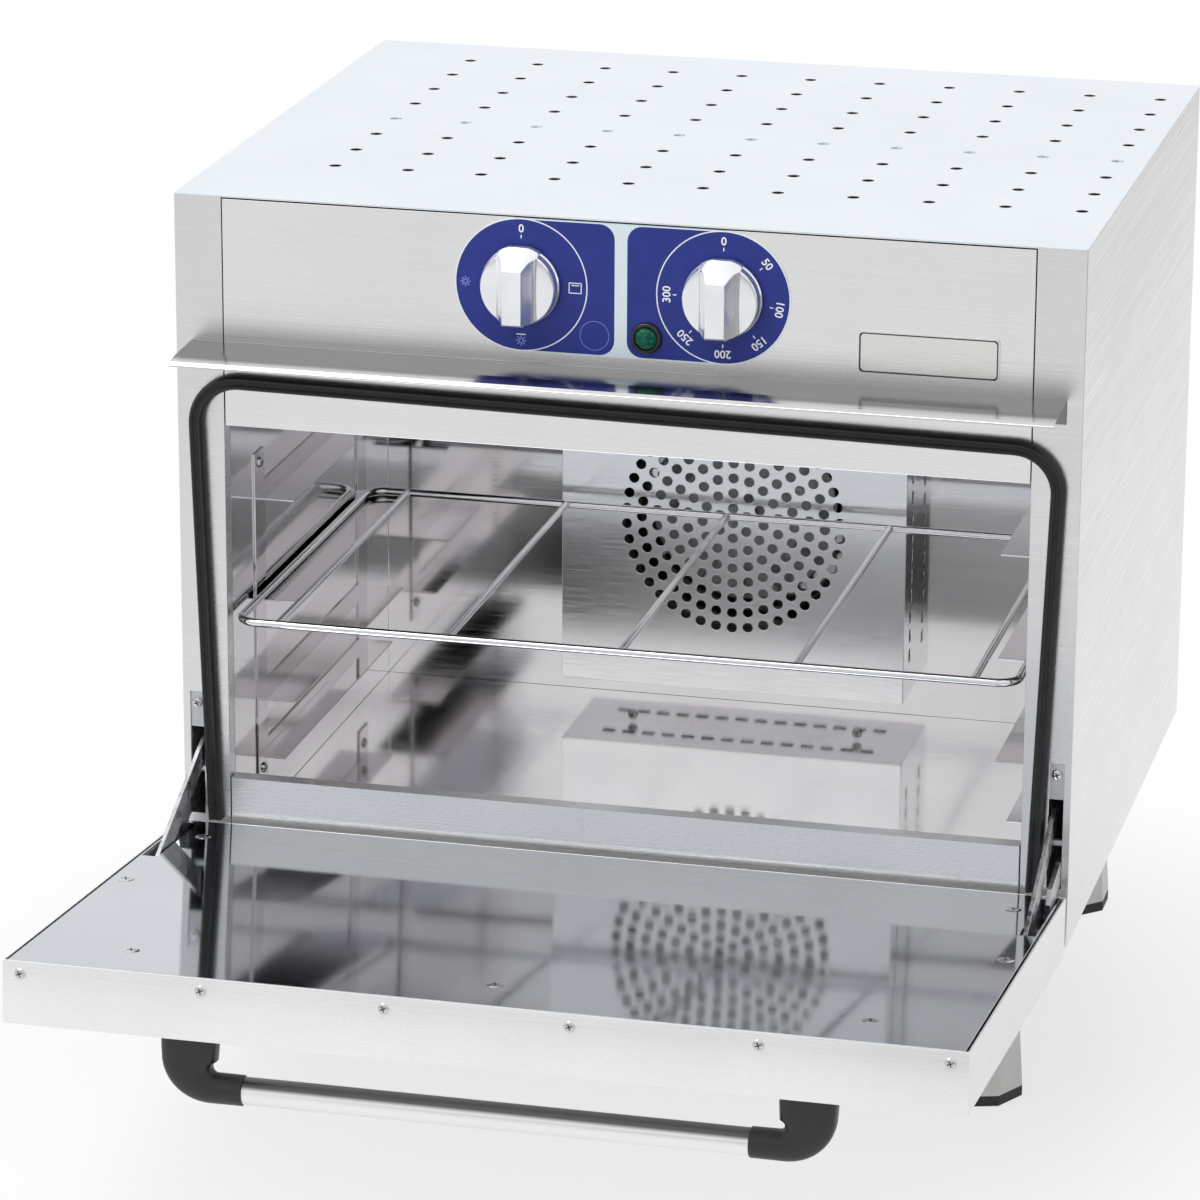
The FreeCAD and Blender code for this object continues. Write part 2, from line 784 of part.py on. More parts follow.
def badge_plate():
    """A bare plate with rounded corners and a raised rim."""
    body = new_body("badge_plate")
    sketch = new_sketch(body, "XZ_Plane", "-front_y")
    outline(sketch, rectangle("badge_x - badge_width / 2", "badge_z - badge_height / 2",
                              "badge_x + badge_width / 2", "badge_z + badge_height / 2"))
    pad(body, sketch, "badge_thickness")
    field = new_sketch(body, "XZ_Plane", "-front_y + badge_thickness")
    outline(field, rectangle("badge_x - badge_width / 2 + badge_rim",
                             "badge_z - badge_height / 2 + badge_rim",
                             "badge_x + badge_width / 2 - badge_rim",
                             "badge_z + badge_height / 2 - badge_rim"))
    recess = pocket(body, field, "badge_recess")
    DOC.recompute()
    corners = [edge for edge, curve in enumerate(recess.Shape.Edges, 1)
               if abs(curve.tangentAt(curve.FirstParameter).y) > 0.99
               and curve.Length > SHEET.badge_thickness - 0.1]
    rounded = body.newObject("PartDesign::Fillet", "badge_corners")
    rounded.Base = (recess, ["Edge%d" % edge for edge in corners])
    rounded.setExpression("Radius", formula("badge_corner"))
    keep(body, "badge_plate")


def tapered(name, sides, rings, start, facing):
    """A solid through regular outlines, each given as a radius and a height."""
    sections = []
    for number, (radius, height) in enumerate(rings, 1):
        ring = DOC.addObject("Part::RegularPolygon", "%s_ring_%d" % (name, number))
        ring.Polygon = sides
        ring.setExpression("Circumradius", formula(radius))
        sections.append(place(ring, "0", "0", height))
    made = DOC.addObject("Part::Loft", name)
    made.Sections = sections
    made.Solid = True
    made.Ruled = True
    made.Linearize = True
    turn(made, *FACING[facing])
    return place(made, *start)


def pilot_lamp():
    """A black bezel through the fascia holds a green lens."""
    start = ("lamp_shift", "front_y - label_thickness", "lamp_z")
    rim = tapered("lamp_rim", 16, [("lamp_radius", "0"), ("lamp_radius - 0.8", "lamp_rise")], start, "front")
    barrel = prism("lamp_barrel", 8, "lamp_barrel_radius", "lamp_length", start, "back")
    keep(fuse("lamp_bezel", [rim, barrel]), "lamp_bezel")
    lens = tapered("lamp_lens", 16, [("lens_radius", "lamp_rise"), ("lens_radius - 0.7", "lamp_rise + 1.2"),
                                     ("lens_radius / 2", "lamp_rise + 2.1")], start, "front")
    keep(lens, "lamp_lens")


def control(name, knob_name, spindle_name, x):
    """A switch behind the fascia, with its spindle and knob."""
    back = "front_y + sheet"
    block = box(name + "_block",
                ("(%s) - switch_width / 2" % x, back + " + switch_bush", "dial_z - switch_width / 2"),
                ("(%s) + switch_width / 2" % x, back + " + switch_bush + switch_depth",
                 "fascia_top - sheet - fit_gap"))
    bush = prism(name + "_bush", 8, "spindle_hole_radius + 3", "switch_bush", (x, back, "dial_z"), "back")
    bore = rod(name + "_bore", "spindle_radius + shaft_clearance", "2 * switch_bush",
               (x, back, "dial_z"), "back")
    keep(cut(name, fuse(name + "_body", [block, bush]), [bore]), name)
    keep(prism(spindle_name, 12, "spindle_radius", "knob_gap + sheet + switch_bush",
               (x, "front_y - knob_gap", "dial_z"), "back"), spindle_name)
    skirt = tapered(knob_name + "_skirt", 24, [
        ("knob_radius", "0"), ("knob_radius", "4"), ("knob_radius - 3", "knob_height"),
    ], (x, "front_y - knob_gap", "dial_z"), "front")
    grip = new_body(knob_name + "_grip")
    sketch = new_sketch(grip, "YZ_Plane")
    outline(sketch, [
        ("-knob_height + 1", "-knob_radius + 1"),
        ("-knob_grip_height + 2", "-knob_radius + 5"),
        ("-knob_grip_height", "-knob_radius + 9"),
        ("-knob_grip_height", "knob_radius - 9"),
        ("-knob_grip_height + 2", "knob_radius - 5"),
        ("-4", "knob_radius + 1.5"),
        ("-2", "knob_radius + 1.5"),
        ("-2", "0"),
    ])
    pad(grip, sketch, "knob_grip_width", both=True)
    place(grip, x, "front_y - knob_gap", "dial_z")
    keep(fuse(knob_name, [skirt, grip]), knob_name)


# Cavity

def cavity_liner():
    """A five-sided polished box, open at the mouth, with a hole for the fan shaft."""
    outer = box("liner_outer", ("-seam_x - liner_sheet", "liner_front", "floor_top - liner_sheet"),
                ("seam_x + liner_sheet", "cavity_back + liner_sheet", "cavity_top + liner_sheet"))
    inner = box("liner_inner", ("-seam_x", "liner_front - 1", "floor_top"),
                ("seam_x", "cavity_back", "cavity_top"))
    hole = prism("liner_shaft_hole", 8, "shaft_hole_radius", "3 * liner_sheet",
                 ("fan_shift", "cavity_back - liner_sheet", "fan_z"), "back")
    keep(cut("cavity_liner", outer, [inner, hole]), "cavity_liner")


def cavity_insulation():
    """Mineral wool wraps the liner and leaves room for the motor boss."""
    outer = box("wool_outer",
                ("-seam_x - liner_sheet - insulation_wrap", "liner_front",
                 "floor_top - liner_sheet - insulation_wrap"),
                ("seam_x + liner_sheet + insulation_wrap",
                 "cavity_back + liner_sheet + insulation_wrap",
                 "cavity_top + liner_sheet + insulation_wrap"))
    inner = box("wool_inner", ("-seam_x - liner_sheet", "liner_front - 1", "floor_top - liner_sheet"),
                ("seam_x + liner_sheet", "cavity_back + liner_sheet", "cavity_top + liner_sheet"))
    hole = prism("wool_hole", 8, "motor_boss_radius", "3 * insulation_wrap",
                 ("fan_shift", "cavity_back - liner_sheet", "fan_z"), "back")
    keep(cut("cavity_insulation", outer, [inner, hole]), "cavity_insulation")


def tray_guides():
    """Each guide is two uprights on the cavity wall with folded ledges between them."""
    front = "front_y + guide_front"
    back = "cavity_back - guide_rear_space"
    strip_base = "floor_top + guide_foot_clearance"
    strip_top = "ledge_top + guide_strip_rise"
    pieces = [
        box("guide_front_strip", ("seam_x - guide_sheet", front, strip_base),
            ("seam_x", front + " + guide_upright", strip_top)),
        box("guide_rear_strip", ("seam_x - guide_sheet", back + " - guide_upright", strip_base),
            ("seam_x", back, strip_top)),
    ]
    for name, reach in (("top", "guide_ledge"), ("rack", "guide_ledge"), ("low", "guide_ledge"),
                        ("foot", "guide_foot_ledge")):
        height = "ledge_" + name
        pieces.append(box("guide_ledge_" + name, ("seam_x - " + reach, front, height + " - guide_sheet"),
                          ("seam_x", back, height)))
        pieces.append(box("guide_lip_" + name, ("seam_x - guide_sheet", front, height + " - guide_sheet"),
                          ("seam_x", back, height + " + guide_lip")))
    pair(fuse("tray_guide", pieces), "tray_guide_right", "tray_guide_left")
    heads = []
    for height in ("ledge_top + guide_screw_rise", "ledge_foot - guide_screw_drop"):
        for depth in (front + " + guide_upright / 2", back + " - guide_upright / 2"):
            heads.append(prism("guide_screw_%d" % (len(heads) + 1), 6, "screw_head_radius",
                               "screw_head_height", ("seam_x - guide_sheet", depth, height), "left"))
    right_side = group("guide_screws_right", heads)
    other = DOC.addObject("Part::Mirroring", "guide_screws_left")
    other.Source = right_side
    other.Normal = (1, 0, 0)
    keep(group("guide_screws", [right_side, other]), "guide_screws")


# Fan

def fan_cover():
    """A perforated box over the fan: rings of holes in its face, slots along its edges."""
    body = new_body("cover_box")
    sketch = new_sketch(body, "XZ_Plane")
    outline(sketch, rectangle("-cover_size / 2", "-cover_size / 2", "cover_size / 2", "cover_size / 2"))
    pad(body, sketch, "cover_depth", reverse=True)
    inside = new_sketch(body, "XZ_Plane", "-sheet")
    outline(inside, rectangle("-cover_size / 2 + sheet", "-cover_size / 2 + sheet",
                              "cover_size / 2 - sheet", "cover_size / 2 - sheet"))
    pocket(body, inside, "cover_depth")
    place(body, "fan_shift", "cover_front", "fan_z")
    punches = []
    for ring in range(int(SHEET.cover_rings) + 1):
        for step in range(max(1, 6 * ring)):
            angle = math.radians(60 * step / ring) if ring else 0
            reach = ring * SHEET.cover_ring_pitch
            punches.append(punch(SHEET.fan_shift + reach * math.sin(angle),
                                 PLACE.fan_z + reach * math.cos(angle)))
    cutters = [set_shape("cover_punches", Part.makeCompound(punches))]
    half = "cover_size / 2"
    count = int(SHEET.cover_slot_count)
    near = "cover_front + (cover_depth - cover_slot_width) / 2"
    far = "cover_front + (cover_depth + cover_slot_width) / 2"
    for number in range(count):
        along = "(%g) * cover_slot_pitch" % (number - (count - 1) / 2)
        cutters.append(box("cover_side_slot_%d" % (number + 1),
                           ("fan_shift - %s - sheet" % half, near,
                            "fan_z + %s - cover_slot_length / 2" % along),
                           ("fan_shift + %s + sheet" % half, far,
                            "fan_z + %s + cover_slot_length / 2" % along)))
        cutters.append(box("cover_base_slot_%d" % (number + 1),
                           ("fan_shift + %s - cover_slot_length / 2" % along, near,
                            "fan_z - %s - sheet" % half),
                           ("fan_shift + %s + cover_slot_length / 2" % along, far,
                            "fan_z - %s + 2 * sheet" % half)))
    keep(cut("fan_cover", body, cutters), "fan_cover")
    screw_set("fan_cover_screws", [
        ("fan_shift - cover_size / 3", "cavity_back", "fan_z - cover_size / 2 - screw_head_radius - 2"),
        ("fan_shift + cover_size / 3", "cavity_back", "fan_z - cover_size / 2 - screw_head_radius - 2"),
        ("fan_shift + cover_size / 2 + 12", "cavity_back", "fan_z + cover_size / 3"),
    ], "front")


def punch(x, z):
    """A six-sided punch through the face of the fan cover."""
    corners = []
    for corner in range(6):
        angle = math.radians(60 * corner + 30)
        corners.append(FreeCAD.Vector(x + SHEET.cover_hole_radius * math.cos(angle),
                                      PLACE.cover_front - SHEET.sheet,
                                      z + SHEET.cover_hole_radius * math.sin(angle)))
    face = Part.Face(Part.makePolygon(corners + corners[:1]))
    return face.extrude(FreeCAD.Vector(0, 3 * SHEET.sheet, 0))


def fan():
    """A radial fan on a shaft through the rear wall, with its motor behind and a heater ring round it."""
    body = new_body("fan_impeller")
    disc_sketch = new_sketch(body, "XY_Plane")
    outline(disc_sketch, regular(24, "impeller_radius"))
    pad(body, disc_sketch, "sheet")
    hub_sketch = new_sketch(body, "XY_Plane")
    outline(hub_sketch, regular(12, "hub_radius"))
    pad(body, hub_sketch, "impeller_blade")
    blade_sketch = new_sketch(body, "XY_Plane")
    outline(blade_sketch, rectangle("impeller_radius - impeller_blade_width", "-sheet / 2",
                                    "impeller_radius - 2", "sheet / 2"))
    blade = pad(body, blade_sketch, "impeller_blade")
    around = body.newObject("PartDesign::PolarPattern", "impeller_blades_ring")
    around.Originals = [blade]
    around.Axis = (blade_sketch, ["N_Axis"])
    around.Angle = 360
    around.setExpression("Occurrences", formula("impeller_blades"))
    body.Tip = around
    turn(body, *FACING["front"])
    place(body, "fan_shift", "cavity_back - impeller_gap", "fan_z")
    keep(body, "fan_impeller")
    keep(prism("fan_shaft", 16, "shaft_radius", "shaft_length",
               ("fan_shift", "cavity_back - impeller_gap", "fan_z"), "back"), "fan_shaft")
    behind = ("fan_shift", "cavity_back + liner_sheet", "fan_z")
    boss = prism("motor_boss", 8, "motor_boss_radius", "insulation_wrap", behind, "back")
    shell = tapered("motor_shell", 16, [
        ("motor_radius", "insulation_wrap"),
        ("motor_radius", "insulation_wrap + motor_length - 6"),
        ("motor_radius - 6", "insulation_wrap + motor_length"),
    ], behind, "back")
    bore = rod("motor_bore", "shaft_radius + shaft_clearance", "shaft_length",
               ("fan_shift", "cavity_back", "fan_z"), "back")
    keep(cut("fan_motor", fuse("motor_body", [boss, shell]), [bore]), "fan_motor")
    ring_start = ("fan_shift", "cavity_back - heater_gap", "fan_z")
    ring = cut("heater_loop",
               prism("heater_outer", 24, "heater_radius + heater_rod", "2 * heater_rod", ring_start, "front"),
               [prism("heater_inner", 24, "heater_radius - heater_rod", "2 * heater_rod", ring_start,
                      "front")])
    ends = [box("heater_end_" + side,
                ("fan_shift + (%s) - heater_rod" % shift, "cavity_back - heater_gap - heater_rod",
                 "fan_z + heater_radius - 2 * heater_rod"),
                ("fan_shift + (%s) + heater_rod" % shift, "cavity_back",
                 "fan_z + heater_radius - heater_rod / 2"))
            for side, shift in (("left", "-heater_radius / 6"), ("right", "heater_radius / 6"))]
    keep(fuse("ring_heater", [ring] + ends), "ring_heater")


# Door seal

def door_gasket():
    """A ribbed rubber seal, open at the bottom, runs round the mouth on the pillars and fascia."""
    inset = SHEET.gasket_width / 2
    base = SHEET.leg_height + SHEET.gasket_base_height
    left_top = PLACE.case_top - SHEET.gasket_left_drop - inset
    right_top = PLACE.case_top - SHEET.gasket_right_drop - inset
    top_half = PLACE.half_width - SHEET.gasket_top_edge - inset
    base_half = PLACE.half_width - SHEET.gasket_base_edge - inset
    y = PLACE.front_y
    points = [(-base_half, y, base), (-top_half, y, left_top), (top_half, y, right_top),
              (base_half, y, base)]
    path = rounded_path(points, SHEET.gasket_corner - inset)
    rise = SHEET.gasket_height
    section = [(-inset, 0), (-inset, rise - 1.6), (-inset + 1.5, rise), (-1.4, rise), (-0.7, rise - 1.1),
               (0.7, rise - 1.1), (1.4, rise), (inset - 1.5, rise), (inset, rise - 1.6), (inset, 0)]
    along = (FreeCAD.Vector(*points[1]) - FreeCAD.Vector(*points[0])).normalize()
    across = along.cross(FreeCAD.Vector(0, 1, 0))
    start = FreeCAD.Vector(*points[0])
    ring = [start + across * side - FreeCAD.Vector(0, height, 0) for side, height in section]
    shape = path.makePipeShell([Part.makePolygon(ring + ring[:1])], True, False, 1)
    keep(set_shape("door_gasket", shape), "door_gasket")


# Door, drawn closed

def door_shell():
    """The outer pan and the polished inner panel, with cut-outs for the hinge arms."""
    pan_outer = box("pan_outer", ("-half_width", "door_outer_y", "leg_height"),
                    ("half_width", "door_inner_y", "door_top"))
    pan_inner = box("pan_inner", ("-half_width + sheet", "door_outer_y + sheet", "leg_height + sheet"),
                    ("half_width - sheet", "door_inner_y + 1", "door_top - sheet"))
    keep(swing_open(cut("door_outer_pan", pan_outer, [pan_inner])), "door_outer_pan")
    low = "leg_height + sheet + fit_gap"
    high = "door_top - sheet - fit_gap"
    corners = [
        ("door_inner_y", low), ("door_inner_y", high), ("door_inner_y - panel_flange", high),
        ("door_inner_y - panel_flange", high + " - sheet"), ("door_inner_y - sheet", high + " - sheet"),
        ("door_inner_y - sheet", low + " + sheet"), ("door_inner_y - panel_flange", low + " + sheet"),
        ("door_inner_y - panel_flange", low),
    ]
    panel = folded("panel_sheet", "YZ_Plane", corners, "case_width - 2 * sheet - 2 * panel_gap", both=True)
    openings = []
    for side, near, far in (("right", "cheek_inner + fit_gap", "bracket_cheek + fit_gap"),
                            ("left", "-bracket_cheek - fit_gap", "-cheek_inner - fit_gap")):
        openings.append(box("hinge_cutout_" + side,
                            (near, "door_inner_y - 3 * sheet", "leg_height + cutout_base"),
                            (far, "door_inner_y + sheet",
                             "leg_height + cutout_base + cutout_height")))
    keep(swing_open(cut("door_inner_panel", panel, openings)), "door_inner_panel")
    wool = box("door_wool", ("-cheek_inner + 3 * sheet", "door_outer_y + sheet",
                             "leg_height + panel_flange"),
               ("cheek_inner - 3 * sheet", "door_inner_y - sheet - fit_gap", "door_top - panel_flange"))
    keep(swing_open(group("door_insulation", [wool])), "door_insulation")


def door_screws():
    """Screws along the top edge of the door and domed screws on its inner panel."""
    count = int(SHEET.edge_screw_count)
    edge = [("(%g) * edge_screw_pitch" % (number - (count - 1) / 2),
             "door_inner_y - edge_screw_inset", "door_top") for number in range(count)]
    screw_set("door_edge_screws", edge, "up", door=True)
    panel = [("(%d) * panel_screw_pitch" % side, "door_inner_y", "door_top - panel_screw_top")
             for side in (-1, 0, 1)]
    for side in ("-", ""):
        panel.append((side + "(cheek_inner + 2)", "door_inner_y", "leg_height + hinge_screw_high"))
        panel.append((side + "(cheek_inner - 13)", "door_inner_y", "leg_height + hinge_screw_low"))
    screw_set("door_panel_screws", panel, "back", door=True, rise="panel_screw_rise")


def door_handle():
    """An aluminium tube between two black elbows."""
    y = "door_outer_y - handle_reach"
    z = "door_top - handle_drop"
    tube = prism("handle_rod", 16, "handle_radius", "2 * handle_half", ("-handle_half", y, z), "right")
    keep(swing_open(group("handle_tube", [tube])), "handle_tube")
    body = new_body("elbow_blank")
    sketch = new_sketch(body, "XY_Plane", z + " - elbow_depth / 2")
    out = "door_outer_y - handle_reach - handle_radius - 1"
    neck = "door_outer_y - handle_reach + handle_radius + 1"
    outline(sketch, [
        ("elbow_inner", "door_outer_y"), ("elbow_inner", neck), ("handle_half", neck),
        ("handle_half", out), ("elbow_inner + elbow_width", out),
        ("elbow_inner + elbow_width", "door_outer_y"),
    ])
    blank = pad(body, sketch, "elbow_depth")
    DOC.recompute()
    bends = {"outer": [], "inner": []}
    for number, edge in enumerate(blank.Shape.Edges, 1):
        middle = edge.CenterOfMass
        if abs(edge.tangentAt(edge.FirstParameter).z) < 0.99:
            continue
        if middle.y < PLACE.door_outer_y - SHEET.handle_reach:
            if middle.x > PLACE.elbow_inner:
                bends["outer"].append("Edge%d" % number)
        elif middle.y < PLACE.door_outer_y - 1 and middle.x > PLACE.handle_half + 1:
            bends["inner"].append("Edge%d" % number)
    outer = body.newObject("PartDesign::Fillet", "elbow_outer_round")
    outer.Base = (blank, bends["outer"])
    outer.setExpression("Radius", formula("elbow_outer_bend"))
    DOC.recompute()
    corner = [
        "Edge%d" % number for number, edge in enumerate(outer.Shape.Edges, 1)
        if abs(edge.tangentAt(edge.FirstParameter).z) > 0.99 and edge.Curve.TypeId == "Part::GeomLine"
        and abs(edge.CenterOfMass.x - PLACE.elbow_inner) < 0.01
        and edge.CenterOfMass.y < PLACE.door_outer_y - 1]
    inner = body.newObject("PartDesign::Fillet", "elbow_inner_round")
    inner.Base = (outer, corner)
    inner.setExpression("Radius", formula("elbow_inner_bend"))
    pair(swing_open(body), "handle_elbow_right", "handle_elbow_left")


# Hinges

def hinge_housings():
    """Behind each pillar a channel takes the stay arm and carries the fixed hinge lug."""
    back = "front_y + sheet"
    corners = [
        ("cheek_inner - sheet", back),
        ("cheek_inner", back),
        ("cheek_inner", back + " + housing_depth - sheet"),
        ("cheek_outer", back + " + housing_depth - sheet"),
        ("cheek_outer", back),
        ("cheek_outer + sheet", back),
        ("cheek_outer + sheet", back + " + housing_depth"),
        ("cheek_inner - sheet", back + " + housing_depth"),
    ]
    channel = folded("housing_channel", "XY_Plane", corners, "housing_height", "leg_height + housing_base")
    tab = box("housing_tab", ("cheek_inner", back, "leg_height + tab_base"),
              ("cheek_outer", back + " + sheet", "leg_height + housing_base + housing_height"))
    seat_z = "leg_height + stay_seat_height - stay_width / 2 - guide_pin_radius - 4"
    pin = prism("stay_guide_pin", 8, "guide_pin_radius", "cheek_outer - cheek_inner",
                ("cheek_inner", back + " + 8", seat_z), "right")
    pair(fuse("hinge_housing", [channel, tab, pin]), "hinge_housing_right", "hinge_housing_left")
    body = new_body("lug_plate")
    sketch = new_sketch(body, "YZ_Plane", "lug_x")
    outline(sketch, [
        ("front_y + 22", "pivot_z + 40"),
        ("front_y - 2", "pivot_z + 40"),
        ("pivot_y - 6", "pivot_z + 33"),
        ("pivot_y - 11", "pivot_z + 24"),
        ("pivot_y - lug_boss_radius", "pivot_z"),
        ("pivot_y - lug_boss_radius * 0.7", "pivot_z - lug_boss_radius * 0.7"),
        ("pivot_y", "pivot_z - lug_boss_radius"),
        ("pivot_y + lug_boss_radius * 0.7", "pivot_z - lug_boss_radius * 0.7"),
        ("pivot_y + lug_boss_radius", "pivot_z"),
        ("pivot_y + lug_boss_radius", "pivot_z + 18"),
        ("pivot_y + lug_boss_radius + 6", "pivot_z + 24"),
        ("front_y + 22", "pivot_z + 24"),
    ])
    pad(body, sketch, "cheek_outer - lug_x")
    hole = rod("lug_hole", "pivot_pin_radius + shaft_clearance", "2 * lug_thickness + 4",
               ("lug_x - 1", "pivot_y", "pivot_z"), "right")
    pair(cut("hinge_lug", body, [hole]), "hinge_lug_right", "hinge_lug_left")
    screws = []
    for side in ("", "-"):
        screws.append((side + "(slot_inner + slot_outer) / 2", back,
                       "leg_height + slot_base + slot_height - 8"))
    heads = [prism("hinge_screw_%d" % number, 6, "screw_head_radius", "sheet + 1.2", start, "front")
             for number, start in enumerate(screws, 1)]
    keep(group("hinge_screws", heads), "hinge_screws")


def door_brackets():
    """In the door a channel bracket holds the pivot pin and the pin of the stay arm."""
    depth = "door_inner_y - sheet"
    base = "door_outer_y + sheet"
    corners = [
        ("cheek_inner - sheet", depth), ("cheek_inner", depth), ("cheek_inner", base + " + sheet"),
        ("bracket_cheek", base + " + sheet"), ("bracket_cheek", depth), ("bracket_cheek + sheet", depth),
        ("bracket_cheek + sheet", base), ("cheek_inner - sheet", base),
    ]
    channel = folded("bracket_channel", "XY_Plane", corners, "bracket_height", "leg_height + bracket_base")
    pair(swing_open(channel), "door_bracket_right", "door_bracket_left")
    width = "bracket_cheek - cheek_inner"
    pins = swing_open(group("pins_right", [
        prism("pivot_pin", 16, "pivot_pin_radius", width, ("cheek_inner", "pivot_y", "pivot_z"), "right"),
        prism("stay_pin", 16, "stay_pin_radius", width,
              ("cheek_inner", "stay_pin_closed_y", "stay_pin_closed_z"), "right"),
    ]))
    other = DOC.addObject("Part::Mirroring", "pins_left")
    other.Source = pins
    other.Normal = (1, 0, 0)
    keep(group("hinge_pins", [pins, other]), "hinge_pins")


def stay_arms():
    """Flat arms run from the door into the pillars and hold the door open."""
    body = new_body("stay_bar")
    sketch = new_sketch(body, "YZ_Plane")
    end = "stay_width / 2"
    bevel = "stay_width / 5"
    outline(sketch, [
        ("-(%s)" % end, "-(%s)" % bevel), ("-(%s)" % bevel, "-(%s)" % end),
        ("stay_length + " + bevel, "-(%s)" % end), ("stay_length + " + end, "-(%s)" % bevel),
        ("stay_length + " + end, bevel), ("stay_length + " + bevel, end),
        ("-(%s)" % bevel, end), ("-(%s)" % end, bevel),
    ])
    pad(body, sketch, "stay_thickness")
    hole = rod("stay_hole", "stay_pin_radius + shaft_clearance", "3 * stay_thickness",
               ("-stay_thickness", "0", "0"), "right")
    arm = cut("stay_arm", body, [hole])
    turn(arm, (1, 0, 0), "atan(stay_slope) / 1deg")
    place(arm, "stay_x", "stay_pin_y", "stay_pin_z")
    pair(arm, "stay_arm_right", "stay_arm_left")


# Wire rack

def polygon_ring(centre, direction, up, radius, sides=8):
    """A regular closed wire across a direction."""
    side = direction.cross(up).normalize()
    corners = []
    for corner in range(sides):
        angle = 2 * math.pi * (corner + 0.5) / sides
        corners.append(centre + side * (radius * math.cos(angle)) + up * (radius * math.sin(angle)))
    return Part.makePolygon(corners + corners[:1])


def wire_rack():
    """A bent wire loop with five wires across it."""
    wire = SHEET.rack_wire
    half = PLACE.rack_half - wire
    front = PLACE.rack_y
    back = front + PLACE.rack_depth - 2 * wire
    z = PLACE.rack_z
    bend = SHEET.rack_corner
    steps = int(SHEET.rack_bend_steps)
    line = [FreeCAD.Vector(0, front, z)]
    for x, y, start in ((half, front, -90), (half, back, 0), (-half, back, 90), (-half, front, 180)):
        centre_x = x - math.copysign(bend, x)
        centre_y = y + bend if y == front else y - bend
        for step in range(steps + 1):
            angle = math.radians(start + 90 * step / steps)
            line.append(FreeCAD.Vector(centre_x + bend * math.cos(angle),
                                       centre_y + bend * math.sin(angle), z))
    up = FreeCAD.Vector(0, 0, 1)
    path = Part.makePolygon(line + line[:1])
    loop = path.makePipeShell([polygon_ring(line[0], FreeCAD.Vector(1, 0, 0), up, wire)], True, False, 1)
    along = FreeCAD.Vector(0, 1, 0)
    for step in (-2, -1, 0, 1, 2):
        start = FreeCAD.Vector(step * PLACE.rack_wire_pitch, front, z)
        ring = Part.Face(polygon_ring(start, along, up, SHEET.rack_cross_wire))
        loop = loop.fuse(ring.extrude(along * (back - front)))
    keep(set_shape("wire_rack", loop), "wire_rack")


def cable_gland():
    """The cable entry at the back, a gland with a clear bore."""
    start = ("gland_x", "back_y - sheet", "leg_height + gland_height")
    nut = prism("gland_nut", 6, "gland_radius", "gland_length / 2", start, "back")
    thread = prism("gland_thread", 8, "gland_thread_radius", "gland_length / 2", start, "front")
    bore = rod("gland_opening", "gland_bore", "2 * gland_length",
               ("gland_x", "back_y - gland_length", "leg_height + gland_height"), "back")
    keep(cut("cable_gland", fuse("gland_body", [nut, thread]), [bore]), "cable_gland")


def build():
    side_panels()
    roof_panel()
    roof_stiffener()
    rear_panel()
    base_panel()
    legs()
    control_fascia()
    front_sill()
    canopy_strip()
    case_screws()
    dial_label()
    badge_plate()
    pilot_lamp()
    control("selector_switch", "selector_knob", "selector_spindle", "-dial_spacing / 2")
    control("thermostat", "thermostat_knob", "thermostat_spindle", "dial_spacing / 2")
    cavity_liner()
    cavity_insulation()
    tray_guides()
    fan_cover()
    fan()
    door_gasket()
    door_shell()
    door_screws()
    door_handle()
    hinge_housings()
    door_brackets()
    stay_arms()
    wire_rack()
    cable_gland()


def check():
    """Stop if any object failed or any sub-part has no valid solid."""
    for thing in DOC.Objects:
        if "Invalid" in thing.State or "Error" in thing.State:
            raise RuntimeError("%s is %s" % (thing.Name, thing.State))
    for node in NODES:
        if node.Shape.isNull() or not node.Shape.isValid() or not node.Shape.Solids:
            raise RuntimeError(node.Label + " has no valid solid")


def write():
    os.makedirs("parts", exist_ok=True)
    for node in NODES:
        node.Shape.exportStep(os.path.join("parts", node.Label + ".step"))


build()
DOC.recompute()
check()
write()
print("%d sub-parts written" % len(NODES))
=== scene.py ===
import json
import math

import bmesh
import bpy
from mathutils import Matrix, Quaternion, Vector


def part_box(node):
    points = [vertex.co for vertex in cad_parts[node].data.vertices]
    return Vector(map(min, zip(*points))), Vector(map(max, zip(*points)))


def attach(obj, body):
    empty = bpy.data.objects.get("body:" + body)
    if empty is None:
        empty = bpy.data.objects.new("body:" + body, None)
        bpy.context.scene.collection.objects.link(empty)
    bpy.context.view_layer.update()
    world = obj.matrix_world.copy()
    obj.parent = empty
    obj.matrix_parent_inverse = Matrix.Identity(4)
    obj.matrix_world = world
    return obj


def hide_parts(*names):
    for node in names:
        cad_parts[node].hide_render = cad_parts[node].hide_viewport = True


# A countertop convection oven, seen with its door open.
# Metres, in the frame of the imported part: X to the right, Y into the oven, Z up.

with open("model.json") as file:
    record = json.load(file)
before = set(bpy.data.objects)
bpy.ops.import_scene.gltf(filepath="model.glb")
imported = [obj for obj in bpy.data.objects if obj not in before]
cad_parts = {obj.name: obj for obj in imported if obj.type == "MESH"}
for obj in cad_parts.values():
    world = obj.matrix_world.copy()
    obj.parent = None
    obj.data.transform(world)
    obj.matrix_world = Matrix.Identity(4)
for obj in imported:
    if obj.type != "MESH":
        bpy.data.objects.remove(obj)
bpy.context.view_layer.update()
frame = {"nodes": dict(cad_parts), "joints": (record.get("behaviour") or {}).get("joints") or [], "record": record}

MM = 0.001

